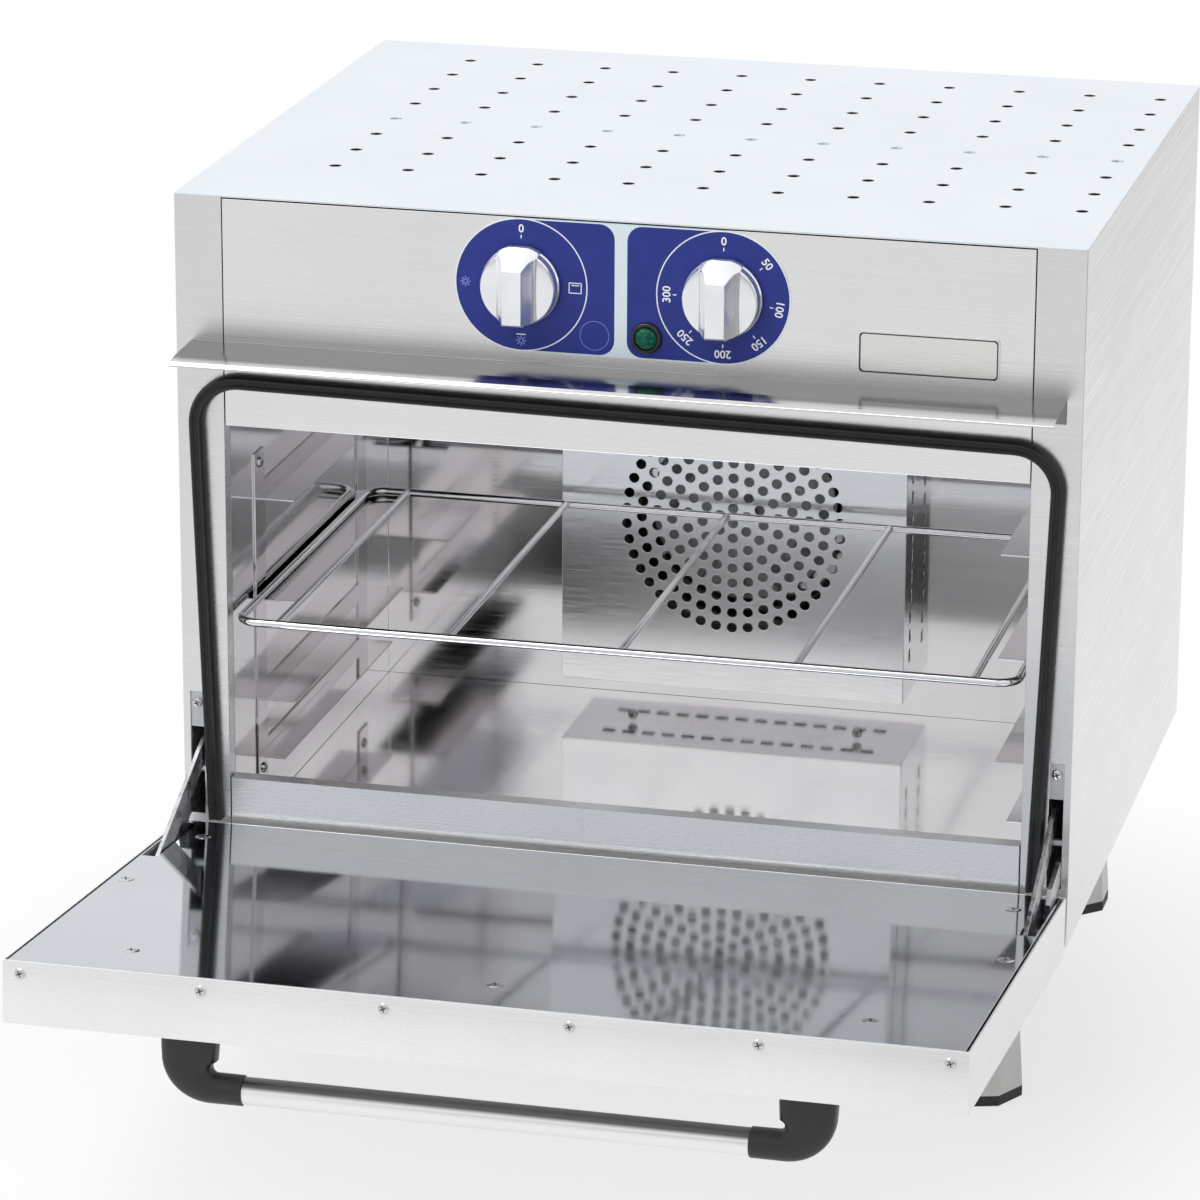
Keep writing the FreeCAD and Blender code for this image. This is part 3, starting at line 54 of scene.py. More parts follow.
# Driving sizes of the pieces that are modelled here
VENT_RADIUS = 4.1 * MM
VENT_PITCH = (50 * MM, 49 * MM)
VENT_COUNT = (11, 8)
VENT_MARGIN = (79.7 * MM, 100.8 * MM)
COVER_SHEET = 1.2 * MM
COVER_HOLE = 3.65 * MM
COVER_RING_PITCH = 11.1 * MM
COVER_RINGS = 7
COVER_SLOT = (7 * MM, 9.5 * MM)
COVER_SLOT_PITCH = 14.7 * MM
COVER_SLOT_COUNT = 14
DIAL_RADIUS = 44 * MM
DIAL_SPACING = 133.1 * MM
DIAL_DROP = 46.5 * MM
LOBE_END = (-4.8 * MM, 3.5 * MM)
LOBE_CORNER = 10 * MM
LAMP_PLACE = (16.5 * MM, -76.2 * MM)
BLANK_PLACE = (-17.9 * MM, -77.1 * MM)
BLANK_RADIUS = 9.8 * MM
KNOB_RADIUS = 26 * MM
KNOB_SKIRT = 11 * MM
KNOB_RISE = 25 * MM
GRIP_CREST = 12.5 * MM
GRIP_FOOT = 27 * MM
RACK_WIRE = 2.75 * MM
CROSS_WIRE = 2.4 * MM
RACK_CORNER = 14 * MM
CROSS_PITCH = 117 * MM
GASKET_WIDTH = 9.5 * MM
GASKET_CORNER = 34 * MM
DOOR_GAP = 9 * MM
DOOR_THICKNESS = 40.2 * MM
DOOR_TOP = 474.5 * MM
HANDLE_REACH = 45 * MM
HANDLE_DROP = 51 * MM
HANDLE_RADIUS = 8.75 * MM
HANDLE_HALF = 160 * MM
ELBOW_BASE = (36.5 * MM, 19 * MM)
ELBOW_INNER = 177 * MM
SCREW_RADIUS = 3.6 * MM

FRONT = Matrix.Rotation(math.radians(90), 4, "X")
BACK = Matrix.Rotation(math.radians(-90), 4, "X")
UP = Matrix.Identity(4)
LEFT = Matrix.Rotation(math.radians(-90), 4, "Y")
RIGHT = Matrix.Rotation(math.radians(90), 4, "Y")

front_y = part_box("control_fascia")[0].y
roof_low, roof_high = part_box("roof_panel")
dial_z = roof_high.z - DIAL_DROP


# Procedural finishes

class Finish:
    """One material: a Principled shader with layers of noise on its colour, polish and surface."""

    def __init__(self, name, colour, roughness, metallic=0.0, **constants):
        self.material = bpy.data.materials.new(name)
        self.material.use_nodes = True
        self.tree = self.material.node_tree
        self.shader = self.tree.nodes["Principled BSDF"]
        self.colour = colour
        self.set("Base Color", (*colour, 1))
        self.set("Roughness", roughness)
        self.set("Metallic", metallic)
        for socket, value in constants.items():
            self.set(socket.replace("_", " ").title().replace("Ior", "IOR"), value)
        self.place = self.tree.nodes.new("ShaderNodeTexCoord").outputs["Object"]
        self.material.diffuse_color = (*colour, 1)

    def set(self, socket, value):
        self.shader.inputs[socket].default_value = value

    def join(self, source, target):
        self.tree.links.new(source, target)

    def noise(self, scale, detail=4, roughness=0.6, distortion=0.0):
        """Noise in metres, stretched by a different scale along each axis."""
        mapping = self.tree.nodes.new("ShaderNodeMapping")
        mapping.inputs["Scale"].default_value = scale
        self.join(self.place, mapping.inputs["Vector"])
        noise = self.tree.nodes.new("ShaderNodeTexNoise")
        noise.inputs["Scale"].default_value = 1
        noise.inputs["Detail"].default_value = detail
        noise.inputs["Roughness"].default_value = roughness
        noise.inputs["Distortion"].default_value = distortion
        self.join(mapping.outputs["Vector"], noise.inputs["Vector"])
        return noise.outputs["Fac"]

    def cells(self, scale, feature="F1"):
        """Cells of about one over the scale, in metres."""
        cells = self.tree.nodes.new("ShaderNodeTexVoronoi")
        cells.feature = feature
        cells.inputs["Scale"].default_value = scale
        self.join(self.place, cells.inputs["Vector"])
        return cells.outputs["Color" if feature == "F1" else "Distance"]

    def ranged(self, source, low, high, start=0.3, end=0.7):
        """The source brought from one range to another."""
        node = self.tree.nodes.new("ShaderNodeMapRange")
        node.inputs["From Min"].default_value = start
        node.inputs["From Max"].default_value = end
        node.inputs["To Min"].default_value = low
        node.inputs["To Max"].default_value = high
        self.join(source, node.inputs["Value"])
        return node.outputs["Result"]

    def tint(self, source, low, high):
        """Vary the colour between two shares of itself."""
        ramp = self.tree.nodes.new("ShaderNodeValToRGB")
        ramp.color_ramp.elements[0].position = 0.3
        ramp.color_ramp.elements[1].position = 0.7
        for element, share in zip(ramp.color_ramp.elements, (low, high)):
            element.color = (*(min(1, part * share) for part in self.colour), 1)
        self.join(source, ramp.inputs["Fac"])
        self.join(ramp.outputs["Color"], self.shader.inputs["Base Color"])
        return self

    def polish(self, source, low, high):
        """Vary the roughness."""
        self.join(self.ranged(source, low, high), self.shader.inputs["Roughness"])
        return self

    def relief(self, source, depth, strength=1.0):
        """Raise the surface by the source, on top of what was raised before."""
        bump = self.tree.nodes.new("ShaderNodeBump")
        bump.inputs["Distance"].default_value = depth
        bump.inputs["Strength"].default_value = strength
        self.join(source, bump.inputs["Height"])
        normal = self.shader.inputs["Normal"]
        if normal.links:
            self.join(normal.links[0].from_socket, bump.inputs["Normal"])
        self.join(bump.outputs["Normal"], normal)
        return self


def brushed(name, colour, roughness, grain, depth=0.000012, metallic=1.0):
    """Satin stainless sheet: fine parallel grain, with faint cloudy marks."""
    finish = Finish(name, colour, roughness, metallic=metallic)
    lines = finish.noise(grain, detail=3, roughness=0.7)
    clouds = finish.noise((9, 9, 9), detail=3)
    finish.tint(clouds, 0.97, 1.02)
    finish.polish(lines, roughness * 0.8, roughness * 1.25)
    finish.relief(lines, depth, 0.3)
    return finish.material


def canopy_sheet():
    """Satin sheet with painted shade towards the fascia and a painted reflection along its front fold."""
    finish = Finish("canopy_steel", (0.88, 0.87, 0.88), 0.15, metallic=1.0)
    low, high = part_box("canopy_strip")
    split = finish.tree.nodes.new("ShaderNodeSeparateXYZ")
    finish.join(finish.place, split.inputs["Vector"])
    depth = high.y - low.y
    # Painted shade and painted reflection: the colour falls to a quarter at the fascia side and rises towards the
    # front fold.
    forward = finish.ranged(split.outputs["Y"], 1, 0, low.y + 0.04 * depth, low.y + 0.3 * depth)
    finish.tint(forward, 0.26, 0.74)
    lines = finish.noise((12, 900, 900), detail=3)
    finish.polish(lines, 0.12, 0.19)
    finish.relief(lines, 0.00002, 0.3)
    return finish.material


def mirror_sheet(name, colour, roughness, waviness=0.0012, metallic=1.0):
    """Bright-rolled sheet: nearly a mirror, slightly wavy, with hair scratches."""
    finish = Finish(name, colour, roughness, metallic=metallic)
    waves = finish.noise((5, 5, 5), detail=1)
    scratches = finish.noise((30, 900, 900), detail=2)
    finish.tint(finish.noise((7, 7, 7)), 0.95, 1.03)
    finish.polish(scratches, roughness * 0.7, roughness * 1.5)
    finish.relief(waves, waviness, 0.6)
    finish.relief(scratches, 0.000004, 0.4)
    return finish.material


def zinc_sheet():
    """Zinc-coated sheet with its flowers of crystals."""
    finish = Finish("zinc_coated_sheet", (0.58, 0.60, 0.62), 0.42, metallic=0.9)
    flowers = finish.cells(110)
    finish.tint(flowers, 0.9, 1.06)
    finish.polish(flowers, 0.34, 0.5)
    finish.relief(finish.noise((300, 300, 300)), 0.00002, 0.5)
    return finish.material


def moulded(name, colour, roughness, texture=1400, depth=0.00003, **constants):
    """Moulded plastic with a fine eroded texture."""
    finish = Finish(name, colour, roughness, **constants)
    fine = finish.noise((texture, texture, texture), detail=3)
    wide = finish.noise((40, 40, 40), detail=3)
    finish.tint(wide, 0.94, 1.06)
    finish.polish(wide, roughness * 0.88, roughness * 1.12)
    finish.relief(fine, depth, 0.6)
    return finish.material


def rubber(name, colour, roughness):
    """Silicone rubber with a dusty bloom."""
    finish = Finish(name, colour, roughness, specular_ior_level=0.35)
    bloom = finish.noise((160, 160, 160), detail=5)
    finish.tint(bloom, 0.8, 1.25)
    finish.polish(bloom, roughness * 0.9, roughness * 1.15)
    finish.relief(finish.noise((900, 900, 900)), 0.00003, 0.5)
    return finish.material


def plated(name, colour, roughness, scale=260):
    """Bright plated metal, with slight runs in the plating."""
    finish = Finish(name, colour, roughness, metallic=1.0)
    runs = finish.noise((scale, scale, scale), detail=3)
    finish.tint(runs, 0.94, 1.04)
    finish.polish(runs, roughness * 0.6, roughness * 1.5)
    finish.relief(runs, 0.00003, 0.35)
    return finish.material


def drawn_tube():
    """Anodised tube with grain along it, and a painted dark reflection on the side that faces the door."""
    finish = Finish("drawn_tube", (0.92, 0.925, 0.935), 0.34, metallic=1.0)
    low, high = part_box("handle_tube")
    split = finish.tree.nodes.new("ShaderNodeSeparateXYZ")
    finish.join(finish.place, split.inputs["Vector"])
    width = high.z - low.z
    # Painted reflection: the colour drops to a sixth on the side of the tube that faces the door.
    facing = finish.ranged(split.outputs["Z"], 0, 1, low.z + 0.58 * width, low.z + 0.92 * width)
    finish.tint(facing, 1.0, 0.17)
    lines = finish.noise((14, 1800, 1800), detail=3)
    finish.polish(lines, 0.27, 0.42)
    finish.relief(lines, 0.00003, 0.5)
    return finish.material


def printed_film():
    """Blue screen print under a satin film."""
    finish = Finish("blue_print", (0.022, 0.036, 0.24), 0.42, specular_ior_level=0.3)
    patches = finish.noise((60, 60, 60), detail=4)
    finish.tint(patches, 0.9, 1.12)
    finish.polish(patches, 0.37, 0.48)
    finish.relief(finish.noise((2200, 2200, 2200)), 0.000012, 0.4)
    return finish.material


def film_ground():
    """Pale silver film at the edge of the label."""
    finish = Finish("film_ground", (0.76, 0.87, 0.92), 0.34, metallic=0.35)
    flakes = finish.noise((3000, 3000, 3000), detail=2)
    finish.tint(flakes, 0.94, 1.05)
    finish.relief(flakes, 0.00001, 0.4)
    return finish.material


def white_print():
    finish = Finish("white_print", (0.86, 0.88, 0.90), 0.4)
    ink = finish.noise((1500, 1500, 1500), detail=3)
    finish.tint(ink, 0.97, 1.03)
    finish.relief(ink, 0.00001, 0.4)
    return finish.material


def faint_print():
    finish = Finish("faint_print", (0.20, 0.24, 0.62), 0.4)
    ink = finish.noise((1500, 1500, 1500), detail=3)
    finish.tint(ink, 0.92, 1.08)
    finish.relief(ink, 0.00001, 0.4)
    return finish.material


def green_lens():
    """Clear green plastic with a prismatic inner face."""
    finish = Finish("green_lens", (0.0, 0.085, 0.05), 0.22, specular_ior_level=0.25)
    facets = finish.cells(420)
    finish.tint(facets, 0.65, 1.5)
    finish.relief(facets, 0.0002, 0.5)
    return finish.material


def wool():
    """Mineral wool: matted fibres."""
    finish = Finish("mineral_wool", (0.50, 0.46, 0.34), 0.95, sheen_weight=0.3)
    fibres = finish.noise((300, 900, 300), detail=6, roughness=0.75, distortion=0.6)
    finish.tint(fibres, 0.7, 1.25)
    finish.relief(fibres, 0.0015, 0.9)
    return finish.material


def oxidised_sheath():
    """Heater sheath, dulled and browned by heat."""
    finish = Finish("heater_sheath", (0.20, 0.17, 0.15), 0.55, metallic=0.7)
    scale = finish.noise((90, 90, 90), detail=5)
    finish.tint(scale, 0.6, 1.35)
    finish.polish(scale, 0.45, 0.7)
    finish.relief(finish.noise((800, 800, 800)), 0.00005, 0.6)
    return finish.material


def painted(name, colour, roughness):
    """Dipped paint over pressed metal."""
    finish = Finish(name, colour, roughness, metallic=0.3)
    peel = finish.noise((450, 450, 450), detail=3)
    finish.tint(finish.noise((25, 25, 25)), 0.88, 1.1)
    finish.polish(peel, roughness * 0.85, roughness * 1.15)
    finish.relief(peel, 0.00006, 0.5)
    return finish.material


FINISHES = {
    "case_steel": brushed("case_steel", (0.81, 0.81, 0.815), 0.30, (5, 5, 1300)),
    "bright_steel": mirror_sheet("bright_steel", (0.80, 0.79, 0.80), 0.08, 0.0007),
    "canopy_steel": canopy_sheet(),
    "handle_tube": drawn_tube(),
    "black_plastic": moulded("black_plastic", (0.018, 0.018, 0.019), 0.38),
    "seal_rubber": rubber("seal_rubber", (0.020, 0.020, 0.021), 0.5),
    "foot_rubber": rubber("foot_rubber", (0.03, 0.03, 0.03), 0.6),
    "leg_plastic": moulded("leg_plastic", (0.6, 0.585, 0.57), 0.34, metallic=0.4),
    "knob_silver": moulded("knob_silver", (0.90, 0.92, 0.95), 0.16, 2600, 0.000006, metallic=0.8),
    "label_film": printed_film(),
    "badge_metal": brushed("badge_metal", (0.86, 0.86, 0.84), 0.3, (60, 60, 2500), 0.00001),
    "lamp_green": green_lens(),
    "lamp_black": moulded("lamp_black", (0.012, 0.012, 0.013), 0.2, 800, 0.00001),
    "rack_wire": plated("rack_wire", (0.80, 0.80, 0.81), 0.12),
    "zinc_steel": zinc_sheet(),
    "fastener_steel": plated("fastener_steel", (0.66, 0.66, 0.67), 0.2),
    "hinge_steel": plated("hinge_steel", (0.50, 0.50, 0.51), 0.3, 120),
    "mineral_wool": wool(),
    "motor_metal": painted("motor_metal", (0.10, 0.10, 0.11), 0.4),
    "fan_metal": plated("fan_metal", (0.55, 0.56, 0.57), 0.35, 90),
    "heater_sheath": oxidised_sheath(),
}
# Painted light: the roof, fascia and door take lit copies of the case steel, brighter than the sides, and the roof
# has a painted bluish sky reflection.
LIT_ROOF_STEEL = brushed("roof_steel_painted_light", (0.83, 0.88, 0.925), 0.32, (900, 14, 14))
LIT_FASCIA_STEEL = brushed("fascia_steel_painted_light", (0.88, 0.88, 0.882), 0.28, (5, 5, 1300))
LIT_DOOR_STEEL = brushed("door_steel_painted_light", (0.93, 0.93, 0.935), 0.3, (5, 1300, 1300), metallic=0.7)
GUIDE_STEEL = mirror_sheet("guide_steel", (0.66, 0.64, 0.655), 0.07, 0.0003)
PANEL_STEEL = mirror_sheet("panel_steel", (0.55, 0.575, 0.62), 0.055, 0.0006)
COVER_STEEL = mirror_sheet("cover_steel", (0.96, 0.97, 0.99), 0.15, 0.0004, metallic=0.9)
DARK_PRINT = moulded("dark_print", (0.02, 0.02, 0.02), 0.5)
# Painted shade: near-black stands for the shadow inside the screws' cross recess.
PAINTED_RECESS_SHADE = moulded("painted_recess_shade", (0.02, 0.02, 0.02), 0.5)
FILM_GROUND = film_ground()
WHITE_PRINT = white_print()
FAINT_PRINT = faint_print()


# Mesh tools

def make(name, mesh, body, slot, *materials, smooth=35):
    """A finished piece: linked, shaded, painted and riding on its body."""
    piece = bpy.data.objects.new(name, mesh)
    bpy.context.scene.collection.objects.link(piece)
    for material in materials or (FINISHES[slot],):
        mesh.materials.append(material)
    mesh.shade_smooth()
    mesh.set_sharp_from_angle(angle=math.radians(smooth))
    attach(piece, body)
    return piece


def joined(name, parts):
    """One mesh from several, each with its own place and material number."""
    whole = bmesh.new()
    for mesh, place, number in parts:
        before = len(whole.faces)
        mesh.transform(place)
        whole.from_mesh(mesh)
        whole.faces.ensure_lookup_table()
        for face in whole.faces[before:]:
            face.material_index = number
        bpy.data.meshes.remove(mesh)
    result = bpy.data.meshes.new(name)
    whole.to_mesh(result)
    whole.free()
    return result


def circle(radius, x=0.0, y=0.0, steps=24):
    return [(x + radius * math.cos(2 * math.pi * step / steps),
             y + radius * math.sin(2 * math.pi * step / steps)) for step in range(steps)]


def rounded_box(low_x, low_y, high_x, high_y, corner, steps=6):
    """A rectangle with round corners, anticlockwise."""
    points = []
    for x, y, start in ((high_x - corner, high_y - corner, 0), (low_x + corner, high_y - corner, 90),
                        (low_x + corner, low_y + corner, 180), (high_x - corner, low_y + corner, 270)):
        for step in range(steps + 1):
            angle = math.radians(start + 90 * step / steps)
            points.append((x + corner * math.cos(angle), y + corner * math.sin(angle)))
    return points


def sheet_mesh(outer, holes, thickness, edge=0.0):
    """A flat sheet with holes, from z 0 up to its thickness, with its edges rounded a little."""
    curve = bpy.data.curves.new("outline", "CURVE")
    curve.dimensions = "2D"
    curve.fill_mode = "BOTH"
    curve.extrude = thickness / 2 - edge
    curve.bevel_depth = edge
    curve.bevel_resolution = 1
    curve.offset = -edge
    for ring, points in enumerate(outer + holes):
        spline = curve.splines.new("POLY")
        ordered = points if ring < len(outer) else points[::-1]
        spline.points.add(len(ordered) - 1)
        for point, (x, y) in zip(spline.points, ordered):
            point.co = (x, y, 0, 1)
        spline.use_cyclic_u = True
    return curve_mesh(curve, thickness / 2)


def curve_mesh(curve, rise=0.0):
    """The mesh of a curve or text, raised along z."""
    holder = bpy.data.objects.new("outline", curve)
    bpy.context.scene.collection.objects.link(holder)
    bpy.context.view_layer.update()
    shape = holder.evaluated_get(bpy.context.evaluated_depsgraph_get())
    mesh = bpy.data.meshes.new_from_object(shape)
    mesh.materials.clear()
    mesh.transform(Matrix.Translation((0, 0, rise)))
    bpy.data.objects.remove(holder)
    bpy.data.curves.remove(curve)
    return mesh


def text_mesh(words, size, thickness):
    """Plain lettering, centred on its own origin."""
    curve = bpy.data.curves.new("words", "FONT")
    curve.body = words
    curve.size = size
    curve.align_x = "CENTER"
    curve.align_y = "CENTER"
    curve.offset = size * 0.018
    curve.extrude = thickness / 2
    curve.resolution_u = 4
    return curve_mesh(curve, thickness / 2)


def loft_mesh(rings, closed=False, capped=True):
    """A skin over rings that have the same number of points."""
    shape = bmesh.new()
    rows = [[shape.verts.new(point) for point in ring] for ring in rings]
    pairs = list(zip(rows, rows[1:]))
    if closed:
        pairs.append((rows[-1], rows[0]))
    for low, high in pairs:
        count = len(low)
        for index in range(count):
            following = (index + 1) % count
            shape.faces.new((low[index], low[following], high[following], high[index]))
    if capped and not closed:
        shape.faces.new(rows[0][::-1])
        shape.faces.new(rows[-1])
    bmesh.ops.recalc_face_normals(shape, faces=shape.faces)
    mesh = bpy.data.meshes.new("loft")
    shape.to_mesh(mesh)
    shape.free()
    return mesh


def lathe_mesh(profile, steps=32):
    """A turned piece: the profile gives radius and height, along z."""
    rings = []
    for radius, height in profile:
        rings.append([(x, y, height) for x, y in circle(max(radius, 0.00001), steps=steps)])
    return loft_mesh(rings)


def bend(path, corner, steps=8):
    """A path of straight runs with round corners, as points."""
    points = [Vector(path[0])]
    for before, here, after in zip(path, path[1:], path[2:]):
        before, here, after = Vector(before), Vector(here), Vector(after)
        into = (before - here).normalized()
        out = (after - here).normalized()
        half = into.angle(out) / 2
        reach = corner / math.tan(half)
        centre = here + (into + out).normalized() * (corner / math.sin(half))
        start = here + into * reach - centre
        swing = start.rotation_difference(here + out * reach - centre)
        for step in range(steps + 1):
            points.append(centre + Quaternion(swing.axis, swing.angle * step / steps) @ start)
    points.append(Vector(path[-1]))
    return points


def sweep_mesh(points, section, normal, closed=False):
    """A section, given as side and height, run along a path that lies in one plane."""
    rings = []
    count = len(points)
    for index, point in enumerate(points):
        before = points[index - 1] if closed or index else point
        after = points[(index + 1) % count] if closed or index < count - 1 else point
        side = (after - before).normalized().cross(normal)
        if closed or 0 < index < count - 1:
            turn = (point - before).normalized().angle((after - point).normalized(), 0)
            side = side / math.cos(turn / 2)
        rings.append([point + side * across + normal * up for across, up in section])
    return loft_mesh(rings, closed)


def wire_section(radius, steps=12):
    return circle(radius, steps=steps)


def islands(node):
    """The middle of each separate solid of a CAD node."""
    groups = []
    for vertex in frame["nodes"][node].data.vertices:
        for group in groups:
            if (group[0] - vertex.co).length < 3 * SCREW_RADIUS:
                group.append(vertex.co)
                break
        else:
            groups.append([vertex.co])
    return [sum(group, Vector()) / len(group) for group in groups]


# Case

def soften_case():
    """Round the folded edges of every metal and plastic CAD piece that stays."""
    kept = [node for node in frame["nodes"].values() if not node.hide_render]
    for node in kept:
        weld = node.modifiers.new("weld", "WELD")
        weld.merge_threshold = 0.00001
        soft = node.modifiers.new("edges", "BEVEL")
        soft.width = 0.00035
        soft.segments = 2
        soft.limit_method = "ANGLE"
        soft.angle_limit = math.radians(40)
        soft.use_clamp_overlap = True


def roof():
    """The roof sheet with its round vents."""
    first = (-roof_high.x + VENT_MARGIN[0], front_y + VENT_MARGIN[1])
    holes = [circle(VENT_RADIUS, first[0] + column * VENT_PITCH[0], first[1] + row * VENT_PITCH[1])
             for column in range(VENT_COUNT[0]) for row in range(VENT_COUNT[1])]
    outer = [rounded_box(roof_low.x, roof_low.y, roof_high.x, roof_high.y, 1.2 * MM)]
    mesh = sheet_mesh(outer, holes, roof_high.z - roof_low.z, 0.25 * MM)
    mesh.transform(Matrix.Translation((0, 0, roof_low.z)))
    piece = make("roof_sheet", mesh, "root", "case_steel", LIT_ROOF_STEEL)
    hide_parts("roof_panel")


# Controls

def on_front(x, z, depth):
    """A place on the front, facing the user."""
    return Matrix.Translation((x, front_y - depth, z)) @ FRONT


def dial_lobe(x, end):
    """The outline of one printed field: a disc that runs out into a square end."""
    radius = DIAL_RADIUS - 0.8 * MM
    sign = 1 if end > x else -1
    points = []
    for step in range(33):
        angle = math.radians(90 + 180 * step / 32)
        points.append((x + sign * radius * math.cos(angle), radius * math.sin(angle)))
    for y, start in ((-radius + LOBE_CORNER, -90), (radius - LOBE_CORNER, 0)):
        for step in range(7):
            angle = math.radians(start + 90 * step / 6)
            points.append((end - sign * LOBE_CORNER + sign * LOBE_CORNER * math.cos(angle),
                           y + LOBE_CORNER * math.sin(angle)))
    return points if sign > 0 else points[::-1]


def label():
    """The printed label behind the knobs: silver ground, blue fields, white scales."""
    thickness = front_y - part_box("dial_label")[0].y
    half = DIAL_SPACING / 2
    radius = DIAL_RADIUS + 0.2 * MM
    left = [(-half + radius * math.cos(math.radians(90 + 180 * step / 40)),
             radius * math.sin(math.radians(90 + 180 * step / 40))) for step in range(41)]
    ground = left + [(-x, -y) for x, y in left]
    spindle = 5 * MM
    holes = [circle(spindle, -half), circle(spindle, half)]
    lower = thickness - 0.12 * MM
    base = make("label_ground", joined("label_ground", [
        (sheet_mesh([ground], holes, lower), on_front(0, dial_z, 0), 0)]), "root", "label_film", FILM_GROUND)
    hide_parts("dial_label")
    fields = [sheet_mesh([dial_lobe(side * half, end)], [circle(spindle, side * half)], 0.06 * MM)
              for side, end in ((-1, LOBE_END[0]), (1, LOBE_END[1]))]
    make("label_blue", joined("label_blue", [
        (field, on_front(0, dial_z, lower), 0) for field in fields]), "root", "label_film")
    white = []
    for side in (-1, 1):
        ring = sheet_mesh([circle(DIAL_RADIUS, steps=72)], [circle(DIAL_RADIUS - 0.8 * MM, steps=72)],
                          0.1 * MM)
        white.append((ring, on_front(side * half, dial_z, lower), 0))
    scale = (("0", 0), ("50", 50), ("100", 98), ("150", 140), ("200", 180), ("250", 222), ("300", 270))
    for words, angle in scale:
        white += mark(words, angle, half, lower)
    white += mark("0", 0, -half, lower)
    white += oven_symbol(-half + 35.8 * MM, lower)
    white.append((sheet_mesh([rounded_box(-3.1 * MM, -0.35 * MM, 3.1 * MM, 0.35 * MM, 0.2 * MM)], [],
                             0.1 * MM), on_front(-half, dial_z - 32.8 * MM, lower), 0))
    make("label_white", joined("label_white", white), "root", "label_film", WHITE_PRINT)
    faint = [(sheet_mesh([circle(BLANK_RADIUS, steps=48)], [circle(BLANK_RADIUS - 0.4 * MM, steps=48)],
                         0.1 * MM), on_front(BLANK_PLACE[0], roof_high.z + BLANK_PLACE[1], lower), 0)]
    faint += fan_symbol(-half - 37 * MM, 0, lower)
    faint += fan_symbol(-half, -37 * MM, lower)
    make("label_faint", joined("label_faint", faint), "root", "label_film", FAINT_PRINT)


def mark(words, angle, x, depth):
    """A number with its tick, turned with its top outward."""
    turned = Matrix.Rotation(math.radians(-angle), 4, "Z")
    place = on_front(x, dial_z, depth) @ turned
    tick = sheet_mesh([rounded_box(-0.35 * MM, 30.6 * MM, 0.35 * MM, 33.0 * MM, 0.15 * MM)], [], 0.1 * MM)
    number = text_mesh(words, 7.4 * MM, 0.1 * MM)
    return [(tick, place, 0), (number, place @ Matrix.Translation((0, 36.9 * MM, 0)), 0)]


def oven_symbol(x, depth):
    """A plain oven: a square frame with a bar at its top."""
    frame_line = sheet_mesh([rounded_box(-4.3 * MM, -3.6 * MM, 4.3 * MM, 3.6 * MM, 0.3 * MM)],
                            [rounded_box(-3.7 * MM, -3.0 * MM, 3.7 * MM, 3.0 * MM, 0.2 * MM)], 0.1 * MM)
    bar = sheet_mesh([rounded_box(-2.6 * MM, 1.5 * MM, 2.6 * MM, 2.1 * MM, 0.2 * MM)], [], 0.1 * MM)
    place = on_front(x, dial_z, depth)
    return [(frame_line, place, 0), (bar, place, 0)]


def fan_symbol(x, z, depth):
    """A small fan: eight short blades round a middle."""
    blades = []
    for blade in range(8):
        turned = Matrix.Rotation(math.radians(45 * blade), 4, "Z")
        shape = sheet_mesh([rounded_box(0.9 * MM, -0.4 * MM, 3.5 * MM, 0.4 * MM, 0.35 * MM)], [], 0.1 * MM)
        blades.append((shape, on_front(x, dial_z + z, depth) @ turned, 0))
    return blades


def knob(name, body, node, x):
    """A satin knob: a round skirt under a raised bar whose top slopes down to a pointer."""
    radius = KNOB_RADIUS
    skirt = lathe_mesh([
        (radius - 0.6 * MM, 0), (radius, 0.6 * MM), (radius, 2.2 * MM), (radius - 0.8 * MM, 3.2 * MM),
        (radius - 1.2 * MM, KNOB_SKIRT - 1.6 * MM), (radius - 1.9 * MM, KNOB_SKIRT - 0.4 * MM),
        (radius - 3.2 * MM, KNOB_SKIRT), (radius * 0.5, KNOB_SKIRT + 0.3 * MM), (0, KNOB_SKIRT + 0.4 * MM),
    ], 64)
    heights = [(-radius + 2 * MM, KNOB_SKIRT - 1 * MM), (-radius + 3.2 * MM, KNOB_RISE - 2 * MM),
               (-radius + 5 * MM, KNOB_RISE), (radius - 11 * MM, KNOB_RISE), (radius + 1.2 * MM, 7 * MM)]
    rings = []
    slopes = [step / 10 for step in range(11)]
    sides = [(GRIP_CREST + (GRIP_FOOT - GRIP_CREST) * slope) / 2 for slope in slopes]
    for across, slope in [(-side, slope) for side, slope in zip(sides, slopes)][::-1] + list(zip(sides, slopes)):
        limit = KNOB_SKIRT + (KNOB_RISE - KNOB_SKIRT) * (1 - slope) ** 1.5
        narrower = math.sqrt(radius ** 2 - across ** 2) / radius
        ring = []
        for place in range(81):
            up = heights[0][0] + (heights[-1][0] - heights[0][0]) * place / 80
            ring.append((across, up * narrower, min(limit, between(heights, up))))
        ring += [(across, heights[-1][0] * narrower, 2.4 * MM), (across, heights[0][0] * narrower, 2.4 * MM)]
        rings.append(ring)
    place = on_front(x, dial_z, front_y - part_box(node)[1].y)
    mesh = joined(name, [(skirt, place, 0), (loft_mesh(rings), place, 0)])
    piece = make(name, mesh, body, "knob_silver", smooth=24)
    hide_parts(node)


def between(stops, where):
    """The height of a line of stops at one place."""
    for (start, low), (end, high) in zip(stops, stops[1:]):
        if where <= end:
            return low + (high - low) * (where - start) / (end - start)
    return stops[-1][1]


